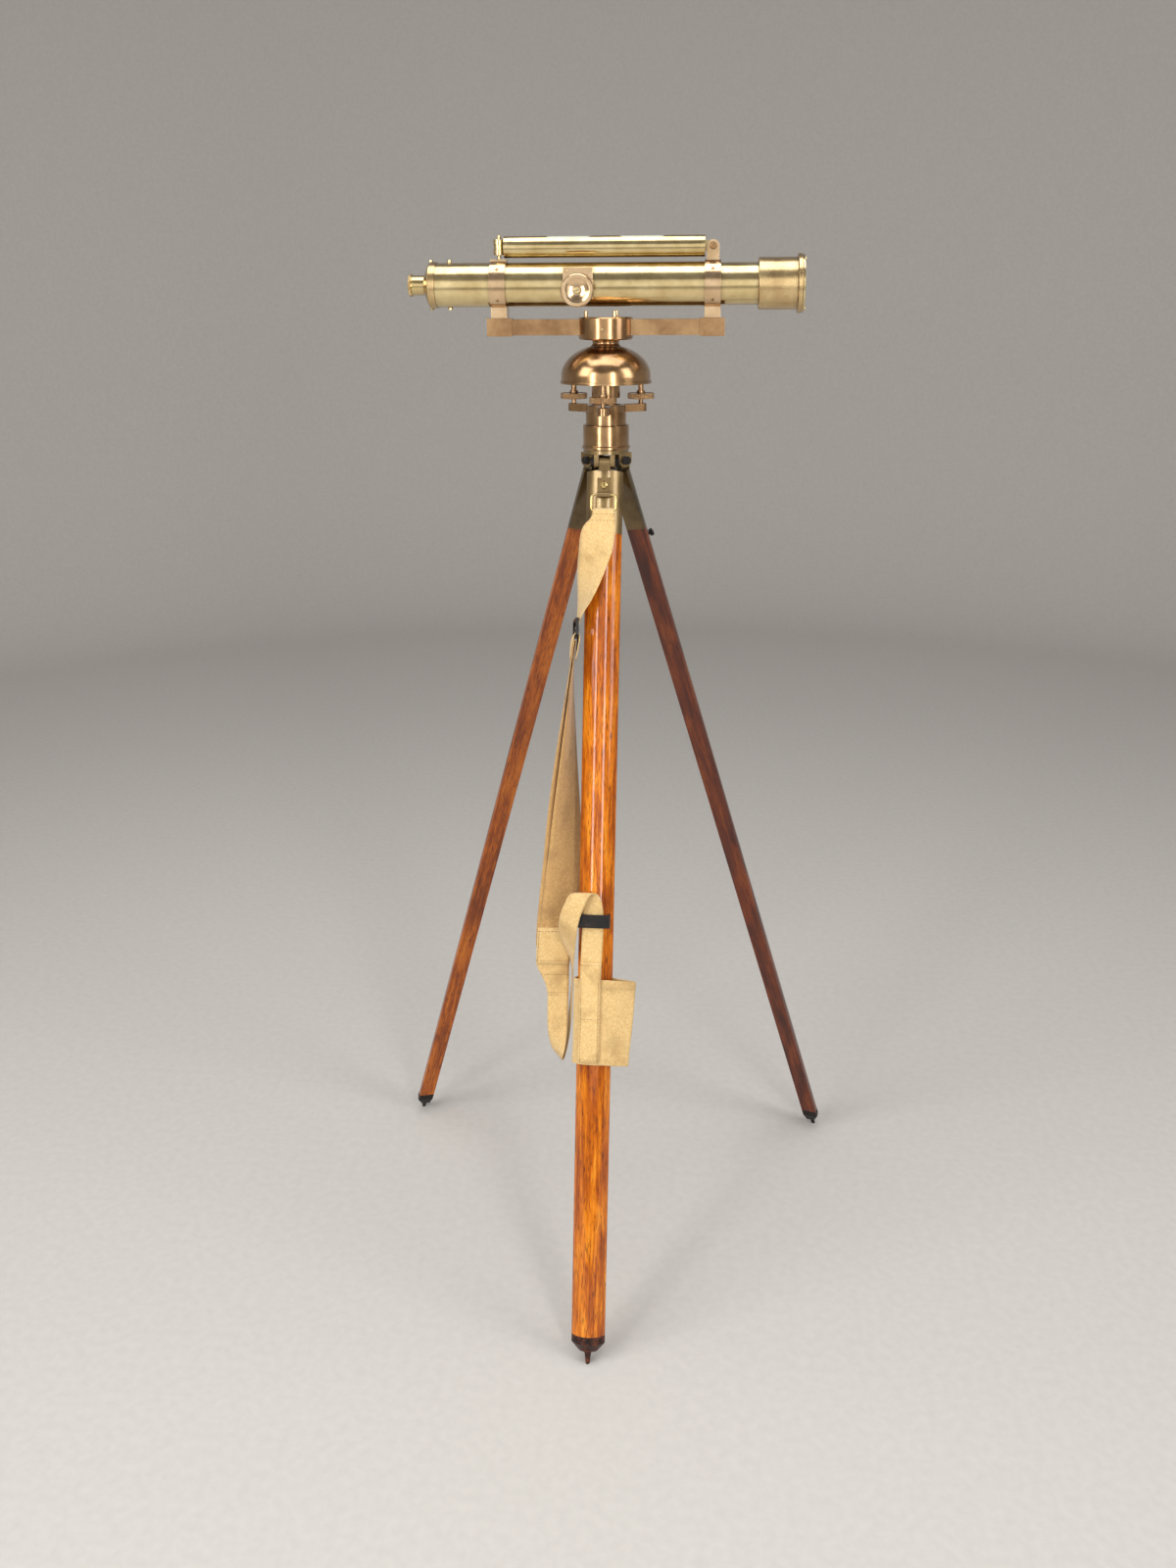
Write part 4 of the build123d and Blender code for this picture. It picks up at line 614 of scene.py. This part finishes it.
# %% Cover glasses of the bubble
GLASS_OUTER, GLASS_INNER, SLOT_HALF, SLOT_LONG, SLOT_START = 13.0, 11.6, 7.2, 57.4, 17.3
BUBBLE_AXIS, END_HALF = 1315.557, 0.6
GLASS_LONG_STEPS, GLASS_WIDE_STEPS = 24, 8


def cover_glasses():
    form = bmesh.new()
    straight = SLOT_LONG / 2 - SLOT_HALF
    for side in (-1, 1):
        sheets = []
        for radius in (GLASS_OUTER, GLASS_INNER):
            rows = []
            for u in np.linspace(-1, 1, GLASS_LONG_STEPS + 1) * SLOT_LONG / 2:
                half = math.sqrt(max(SLOT_HALF ** 2 - max(abs(u) - straight, 0) ** 2, END_HALF ** 2))
                x = side * (SLOT_START + SLOT_LONG / 2) + u
                row = []
                for y in np.linspace(-1, 1, GLASS_WIDE_STEPS + 1) * half:
                    z = BUBBLE_AXIS + math.sqrt(radius ** 2 - y ** 2)
                    row.append(form.verts.new((x * MM, y * MM, z * MM)))
                rows.append(row)
            sheets.append(rows)
            for near, far in zip(rows, rows[1:]):
                for j in range(GLASS_WIDE_STEPS):
                    form.faces.new((near[j], near[j + 1], far[j + 1], far[j]))
        top, under = (rows[0] + [row[-1] for row in rows[1:]] + rows[-1][-2::-1]
                      + [row[0] for row in rows[-2:0:-1]] for rows in sheets)
        for j in range(len(top)):
            k = (j + 1) % len(top)
            form.faces.new((top[j], top[k], under[k], under[j]))
    bmesh.ops.recalc_face_normals(form, faces=form.faces)
    piece = formed("cover_glasses", form, vial_glass, False)
    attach(piece, "bubble")
    print("cover glasses", len(piece.data.polygons), "faces")


cover_glasses()

# %% [markdown]
# Screws, milled edges and stitches repeat, so Geometry Nodes make them. A Python loop could copy them as
# well, but a tree keeps its sizes as named inputs. Each tree has its instances realized, ends in Set Material
# and is turned into a plain mesh for one body. The last helper does that: it sets the inputs by their
# identifiers, evaluates the tree once and keeps the result.

# %% From a node tree to a plain piece
def new_tree(name, sizes):
    tree = bpy.data.node_groups.new(name, "GeometryNodeTree")
    for label, kind in {"Geometry": "Geometry", **sizes, "Finish": "Material"}.items():
        tree.interface.new_socket(label, in_out="INPUT", socket_type="NodeSocket" + kind)
    tree.interface.new_socket("Geometry", in_out="OUTPUT", socket_type="NodeSocketGeometry")
    return tree, add(tree, "NodeGroupInput").outputs


def realized(tree, copies):
    return add(tree, "GeometryNodeRealizeInstances", links={"Geometry": copies.outputs[0]}).outputs[0]


def closed_tree(tree, given, geometry):
    shown = add(tree, "GeometryNodeSetMaterial", links={"Geometry": geometry, "Material": given["Finish"]})
    add(tree, "NodeGroupOutput", links={"Geometry": shown.outputs[0]})
    return tree


def grown(name, body, seed, tree, settings, smooth=False):
    base = put(name + "_seed", seed)
    growth = base.modifiers.new("growth", "NODES")
    growth.node_group = tree
    for socket in tree.interface.items_tree:
        if socket.in_out == "INPUT" and socket.name in settings:
            growth[socket.identifier] = settings[socket.name]
    graph = bpy.context.evaluated_depsgraph_get()
    mesh = bpy.data.meshes.new_from_object(base.evaluated_get(graph), depsgraph=graph)
    bpy.data.objects.remove(base)
    for face in mesh.polygons:
        face.use_smooth = smooth
    piece = put(name, mesh)
    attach(piece, body)
    print(name, len(mesh.polygons), "faces")


print("every tree has its sizes and a finish as inputs")

# %% [markdown]
# A cheese-head screw is a low cone frustum with a slot sawn across it. The tree builds one head of unit
# radius, cuts the slot with a boolean, and puts a copy on every seed point, turned to face the point's own
# direction, with its own slot angle and radius. Hand-set screws never line up, so the angles differ.

# %% Slotted screws
HEAD_SIDES, HEAD_TAPER, SLOT_WIDTH, SAW_LONG, SAW_DEEP = 28, 0.86, 0.3, 2.4, 0.36
SEED_LAYERS = {"facing": "FLOAT_VECTOR", "radius": "FLOAT", "turn": "FLOAT"}
Spot = namedtuple("Spot", "place facing radius turn")


def screw_tree():
    tree, given = new_tree("slotted_screws", {"Slot width": "Float", "Head height": "Float"})
    head = add(tree, "GeometryNodeMeshCone", {"Vertices": HEAD_SIDES, "Radius Top": HEAD_TAPER,
               "Radius Bottom": 1.0}, {"Depth": given["Head height"]})
    lift = add(tree, "ShaderNodeCombineXYZ", links={"Z": given["Head height"]})
    saw_size = add(tree, "ShaderNodeCombineXYZ", {"X": SAW_LONG, "Z": SAW_DEEP}, {"Y": given["Slot width"]})
    saw = add(tree, "GeometryNodeMeshCube", links={"Size": saw_size.outputs[0]})
    raised = add(tree, "GeometryNodeTransform", links={"Geometry": saw.outputs["Mesh"],
                 "Translation": lift.outputs[0]})
    slotted = add(tree, "GeometryNodeMeshBoolean", links={"Mesh 1": head.outputs["Mesh"],
                  "Mesh 2": raised.outputs["Geometry"]}, operation="DIFFERENCE")
    facing, radius, turn = (
        add(tree, "GeometryNodeInputNamedAttribute", {"Name": label}, data_type=kind).outputs["Attribute"]
        for label, kind in SEED_LAYERS.items())
    aim = add(tree, "FunctionNodeAlignRotationToVector", links={"Vector": facing}, axis="Z")
    spin = add(tree, "FunctionNodeAxisAngleToRotation", {"Axis": (0, 0, 1)}, {"Angle": turn})
    turned = add(tree, "FunctionNodeRotateRotation", links={"Rotation": aim.outputs[0],
                 "Rotate By": spin.outputs[0]}, rotation_space="LOCAL")
    copies = add(tree, "GeometryNodeInstanceOnPoints", links={"Points": given["Geometry"],
                 "Instance": slotted.outputs["Mesh"], "Rotation": turned.outputs[0], "Scale": radius})
    return closed_tree(tree, given, realized(tree, copies))


slotted_screws = screw_tree()


def screw_spot(place, facing, radius_mm, degrees):
    return Spot(place, facing, radius_mm * MM, math.radians(degrees))


def put_screws(name, body, spots, made, height=0.5):
    mesh = bpy.data.meshes.new(name)
    mesh.from_pydata([spot.place for spot in spots], [], [])
    for label, kind in SEED_LAYERS.items():
        layer = mesh.attributes.new(label, kind, "POINT")
        for item, spot in zip(layer.data, spots):
            setattr(item, "vector" if kind == "FLOAT_VECTOR" else "value", getattr(spot, label))
    grown(name, body, mesh, slotted_screws,
          {"Slot width": SLOT_WIDTH, "Head height": height, "Finish": made})


print("screw tree with", len(slotted_screws.nodes), "nodes")

# %% [markdown]
# The plate that carries the focusing knob has four screws, each collar four, and the bubble's pivot one. One
# screw sits on the hub of the limb, two on the eye end's ring, one in the knob. Two studs on the dust cap
# and two screws in the keeper are made the same way.

# %% Screws on the instrument and the keeper
SIGHT_Z, KNOB_X, KNOB_FACE_Y, KNOB_Z = 1269.557, -32.0, -43.0, 1262.557
COLLAR_X, COLLAR_RADIUS, RING_X, RING_RADIUS = 134, 30.0, -221, 28.7
PLATE_INSET, STUD_SINK, STUD_RADIUS = 4 * MM, 2.4 * MM, 30
KEEPER_OUT, KEEPER_DROP = 13.8, 574
toward = Vector((0, -1, 0))
plate_low, plate_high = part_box("pinion_box")
plate_xs = plate_low.x + PLATE_INSET, plate_high.x - PLATE_INSET
plate_zs = plate_low.z + PLATE_INSET, plate_high.z - PLATE_INSET
plate_spots = [screw_spot((plate_xs[i], plate_low.y, plate_zs[j]), toward, 1.7, turn)
               for i, j, turn in ((0, 1, 20), (1, 1, -35), (0, 0, 70), (1, 0, 10))]
hub_spots = [screw_spot(Vector((-2, -34.4, 1215)) * MM, toward, 1.8, 40)]
ring_spots = [screw_spot(Vector((RING_X, 0, SIGHT_Z + rise * RING_RADIUS)) * MM, Vector((0, 0, rise)),
                         2.9, turn) for rise, turn in ((1, 25), (-1, 70))]
put_screws("telescope_screws", "telescope", plate_spots + hub_spots + ring_spots,
           tube_brass, height=0.8)

collar_spots = []
for x in (-COLLAR_X, COLLAR_X):
    for angle, turn in ((38, 15), (-40, 60), (142, 30), (220, 80)):
        away = Vector((0, -math.cos(math.radians(angle)), math.sin(math.radians(angle))))
        collar_spots.append(screw_spot(Vector((x, 0, SIGHT_Z)) * MM + away * COLLAR_RADIUS * MM,
                                       away, 2.1, turn))
pivot_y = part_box("bubble_pivot")[0].y
pivot_spots = [screw_spot((COLLAR_X * MM, pivot_y, BUBBLE_AXIS * MM), toward, 4.3, 52)]
put_screws("collar_screws", "telescope", collar_spots + pivot_spots, gunmetal, height=0.4)

knob_spots = [screw_spot(Vector((KNOB_X, KNOB_FACE_Y, KNOB_Z)) * MM, toward, 4.6, 25)]
put_screws("knob_screw", "focus_knob", knob_spots, tube_brass, height=0.6)

stud_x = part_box("dust_cap")[1].x - STUD_SINK
stud_spots = [screw_spot((stud_x, 0, SIGHT_Z * MM + z * MM), Vector((1, 0, 0)), 2.6, turn)
              for z, turn in ((STUD_RADIUS, 0), (-STUD_RADIUS, 50))]
put_screws("dust_cap_studs", "dust_cap", stud_spots, tube_brass, height=0.8)

keeper_spots = [screw_spot(on_leg("front", KEEPER_OUT, side, KEEPER_DROP), front_out, 2.6, turn)
                for side, turn in ((14.6, 15), (-18.6, 75))]
put_screws("keeper_screws", "front_leg", keeper_spots, black_iron)

# %% [markdown]
# The shoes are nailed to the wood through their rims. The pole that the three legs make has its middle
# 21 mm behind each hinge, so a nail faces straight away from that middle.

# %% Shoe nails
POLE_BACK, NAIL_DROP, NAIL_RADIUS = -21, 1071.4, 23.5
for leg in LEG_AZIMUTHS:
    _, out, side, _ = leg_axes(leg)
    nails = []
    for angle, turn in ((-38, 10), (0, 65), (38, 120)):
        away = out * math.cos(math.radians(angle)) + side * math.sin(math.radians(angle))
        nails.append(screw_spot(on_leg(leg, POLE_BACK, 0, NAIL_DROP) + away * NAIL_RADIUS * MM,
                                away, 1.9, turn))
    put_screws(leg + "_shoe_nails", leg + "_leg", nails, black_iron, height=0.4)

# %% [markdown]
# Fingers turn the foot screws, the knob and the eyepiece by their milled edges. A milled edge is a ring of
# fine ridges parallel to the axis. A bump texture would leave the outline smooth, so the ridges are real.
# The tree spreads points on a circle, puts a thin six-sided rod on each, and then turns and moves the whole
# ring to its axis.

# %% Milled edges
RIDGE_SUNK = 0.45


def milled_tree():
    tree, given = new_tree("milled_edge", {"Radius": "Float", "Height": "Float", "Ridge": "Float",
                                           "Count": "Int", "Turn": "Vector", "Place": "Vector"})
    circle = add(tree, "GeometryNodeMeshCircle", links={"Vertices": given["Count"],
                 "Radius": given["Radius"]})
    rod = add(tree, "GeometryNodeMeshCylinder", {"Vertices": 6}, {"Radius": given["Ridge"],
              "Depth": given["Height"]})
    copies = add(tree, "GeometryNodeInstanceOnPoints", links={"Points": circle.outputs["Mesh"],
                 "Instance": rod.outputs["Mesh"]})
    placed = add(tree, "GeometryNodeTransform", links={"Geometry": realized(tree, copies),
                 "Translation": given["Place"], "Rotation": given["Turn"]})
    return closed_tree(tree, given, placed.outputs[0])


milled_edge = milled_tree()


def mill(name, body, place_mm, turn, made, radius_mm, height_mm, count):
    ridge = math.pi * radius_mm / count * MM
    grown(name, body, bpy.data.meshes.new(name), milled_edge, {
        "Radius": radius_mm * MM - ridge * RIDGE_SUNK, "Height": height_mm * MM, "Ridge": ridge,
        "Count": count, "Turn": turn, "Place": [c * MM for c in place_mm], "Finish": made})


SCREW_CIRCLE, DISC_MIDDLE, KNOB_RIM_Y, EYE_RIM_X = 50.0, 1129.16, -43.5, -247.5
UPRIGHT, TO_FRONT, TO_EYE = (0, 0, 0), (math.pi / 2, 0, 0), (0, math.pi / 2, 0)
for leg, azimuth in LEG_AZIMUTHS.items():
    a = math.radians(azimuth)
    mill(leg + "_foot_screw_milling", leg + "_foot_screw",
         (SCREW_CIRCLE * math.cos(a), SCREW_CIRCLE * math.sin(a), DISC_MIDDLE), UPRIGHT,
         gunmetal, radius_mm=16.7, height_mm=7.0, count=64)
mill("knob_milling", "focus_knob", (KNOB_X, KNOB_RIM_Y, KNOB_Z), TO_FRONT,
     gunmetal, radius_mm=20.2, height_mm=4.0, count=80)
mill("eyepiece_milling", "eyepiece", (EYE_RIM_X, 0, SIGHT_Z), TO_EYE,
     turned_brass, radius_mm=13.6, height_mm=3.0, count=60)

# %% [markdown]
# Saddler's stitches hold the fold, the patch, the taper and the strip on the sleeve. A stitch is a short
# waxed thread, 3 mm long here with a pitch of 4 mm, a little coarser than the real 3 mm so that it shows.
# The tree resamples every seam line to that pitch and lays a small stretched ball along it at each point.

# %% Stitches
STITCH_PITCH, THREAD_RADIUS, STITCH_SHARE = 4.0, 0.42, 0.38
WEB_REACH, TAIL_WIDTH, TAIL_REACH = 0.46, 26, 0.4
STRIP_OUT, STRIP_TOP_OUT, STRIP_SIDE, CROSS_SIDE = 11.85, 11.4, -5.1, -4.8


def stitch_tree():
    tree, given = new_tree("stitches", {"Pitch": "Float", "Thread": "Float"})
    line = add(tree, "GeometryNodeMeshToCurve", links={"Mesh": given["Geometry"]})
    points = add(tree, "GeometryNodeCurveToPoints", links={"Curve": line.outputs[0],
                 "Length": given["Pitch"]}, mode="LENGTH")
    shape = add(tree, "ShaderNodeCombineXYZ", links={"X": given["Thread"], "Y": given["Thread"],
                "Z": maths(tree, "MULTIPLY", given["Pitch"], STITCH_SHARE)})
    ball = add(tree, "GeometryNodeMeshUVSphere", {"Segments": 6, "Rings": 5, "Radius": 1.0})
    copies = add(tree, "GeometryNodeInstanceOnPoints", links={"Points": points.outputs["Points"],
                 "Instance": ball.outputs["Mesh"], "Rotation": points.outputs["Rotation"],
                 "Scale": shape.outputs[0]})
    return closed_tree(tree, given, realized(tree, copies))


def along_web(stations, start, stop, across, lift_mm):
    parts = sections(stations)
    return [part.middle + part.edge * across * part.width + part.face * lift_mm * MM for part in parts
            if start <= part.run / parts[-1].run <= stop]


def across_web(stations, share, lift_mm):
    parts = sections(stations)
    part = min(parts, key=lambda p: abs(p.run / parts[-1].run - share))
    return [part.middle + part.edge * a * part.width + part.face * lift_mm * MM
            for a in np.linspace(-WEB_REACH, WEB_REACH, 12)]


seams = [across_web(upper_run, 0.185, 0.95), across_web(upper_run, 0.215, 0.95),
         across_web(patch_run, 0.08, 0.9), across_web(patch_run, 0.9, 0.9),
         along_web(patch_run, 0.05, 0.95, -WEB_REACH, 0.9), along_web(patch_run, 0.05, 0.95, WEB_REACH, 0.9),
         across_web(taper_run, 0.62, 1.1), across_web(taper_run, 0.92, 1.1)]
for across in (-TAIL_REACH, TAIL_REACH):
    seams.append([on_leg("front", STRIP_OUT, STRIP_SIDE + across * TAIL_WIDTH, drop)
                  for drop in np.linspace(650, 740, 30)])
for out, drop in ((STRIP_TOP_OUT, 627), (STRIP_OUT, 692), (STRIP_OUT, 740)):
    seams.append([on_leg("front", out, CROSS_SIDE + across * TAIL_WIDTH, drop)
                  for across in np.linspace(-TAIL_REACH, TAIL_REACH, 10)])
thread_mesh = bpy.data.meshes.new("seams")
points, edges = [], []
for seam in seams:
    edges += [(len(points) + i, len(points) + i + 1) for i in range(len(seam) - 1)]
    points += seam
thread_mesh.from_pydata(points, edges, [])
waxed_thread = cotton_canvas("waxed linen thread", "#BC9A64", "#9C7A48", "#7E6038")
grown("sling_stitches", "front_leg", thread_mesh, stitch_tree(),
      {"Pitch": STITCH_PITCH * MM, "Thread": THREAD_RADIUS * MM, "Finish": waxed_thread}, True)

# %% [markdown]
# The studio is a round pale floor that curves up into a wall all round. A sheet with one back wall is more
# usual, but its edges would show from the sides; here every side of the object has the same plain ground.

# %% Studio floor and wall
FLOOR_RADIUS, SWEEP_RADIUS, WALL_TOP, SWEEP_STEPS, SIDES = 3.4, 0.9, 4.2, 12, 96


def studio_paper():
    made, tree = new_finish("matt studio paper")
    speckle = noise(tree, object_place(tree), size_mm=12, detail=3.0)
    colour = tinted(tree, speckle, [(0.3, "#C5C1BB"), (0.7, "#CBC7C1")])
    surface(tree, {"Roughness": 0.9}, {"Base Color": colour})
    return made


def studio_sweep():
    form = bmesh.new()
    profile = [(FLOOR_RADIUS - SWEEP_RADIUS, 0.0), (FLOOR_RADIUS, 0.0)]
    for step in range(1, SWEEP_STEPS + 1):
        turn = math.pi / 2 * step / SWEEP_STEPS
        profile.append((FLOOR_RADIUS + SWEEP_RADIUS * math.sin(turn), SWEEP_RADIUS * (1 - math.cos(turn))))
    profile.append((FLOOR_RADIUS + SWEEP_RADIUS, WALL_TOP))
    turns = [2 * math.pi * side / SIDES for side in range(SIDES)]
    rows = [[form.verts.new((far * math.cos(a), far * math.sin(a), z)) for a in turns] for far, z in profile]
    form.faces.new(rows[0])
    for near, far in zip(rows, rows[1:]):
        for i in range(SIDES):
            j = (i + 1) % SIDES
            form.faces.new((near[i], far[i], far[j], near[j]))
    formed("studio_sweep", form, studio_paper(), True)
    print("studio", 2 * (FLOOR_RADIUS + SWEEP_RADIUS), "m across")


studio_sweep()

# %% [markdown]
# Metal shows only what it reflects. Large soft lamps light the object from two sides, from the front and
# from above. Two tall narrow ones draw the bright lines down the legs and tubes, and the dim wall between
# the lamps gives the darker bands beside them. Every lamp is aimed at a height on the object's middle line.

# %% Lamps and world
LAMPS = [("window_left", (-2.2, -1.6, 2.4), 0.9, (1.4, 2.0), 38),
         ("window_right", (2.3, -1.2, 2.0), 0.8, (1.0, 2.0), 24),
         ("front_fill", (0.2, -3.4, 1.5), 1.0, (2.6, 2.0), 11),
         ("strip_left", (-1.3, -2.3, 1.4), 0.8, (0.45, 1.8), 24),
         ("strip_right", (0.95, -2.3, 1.4), 0.8, (0.38, 1.8), 20),
         ("ceiling", (0.0, -0.2, 3.2), 0.8, (2.4, 1.6), 40)]
for name, place, aim_height, size, power in LAMPS:
    lamp = bpy.data.lights.new(name, "AREA")
    lamp.shape = "RECTANGLE"
    lamp.size, lamp.size_y = size
    lamp.energy = power
    holder = put(name, lamp)
    holder.location = place
    holder.rotation_euler = (Vector((0, 0, aim_height)) - Vector(place)).to_track_quat("-Z", "Y").to_euler()
world = bpy.data.worlds.new("studio air")
bpy.context.scene.world = world
world.use_nodes = True
air = world.node_tree.nodes["Background"].inputs
air["Color"].default_value = linear("#A9A9AE")
air["Strength"].default_value = 0.55
bpy.context.scene.view_settings.view_transform = "Standard"
print("lamps", len(LAMPS))

# %% [markdown]
# The camera stands a little to the right, level with the telescope, and looks slightly down. The
# photograph was cropped, so its optical centre lies above the middle of the picture; a small lens shift
# does the same here.

# %% Camera
CAMERA_PLACE = Vector((132.8, -1823.6, 1267.9)) * MM
YAW, PITCH, ROLL = (math.radians(a) for a in (-4.93, 12.50, -0.34))
SENSOR, FOCAL_PIXELS, SHIFT_PIXELS, PHOTO_PIXELS = 36.0, 1452, -186.5, 1600
ahead = Vector((math.sin(YAW) * math.cos(PITCH), math.cos(YAW) * math.cos(PITCH), -math.sin(PITCH)))
level = Vector((math.cos(YAW), -math.sin(YAW), 0))
head_up = level.cross(ahead)
right = level * math.cos(ROLL) + head_up * math.sin(ROLL)
upward = -level * math.sin(ROLL) + head_up * math.cos(ROLL)
lens = bpy.data.cameras.new("camera")
lens.lens = SENSOR * FOCAL_PIXELS / PHOTO_PIXELS
lens.shift_y = SHIFT_PIXELS / PHOTO_PIXELS
camera = put("camera", lens)
camera.matrix_world = Matrix.Translation(CAMERA_PLACE) @ Matrix((right, upward, -ahead)).transposed().to_4x4()
bpy.context.scene.camera = camera
print("camera lens", round(lens.lens, 1), "mm")
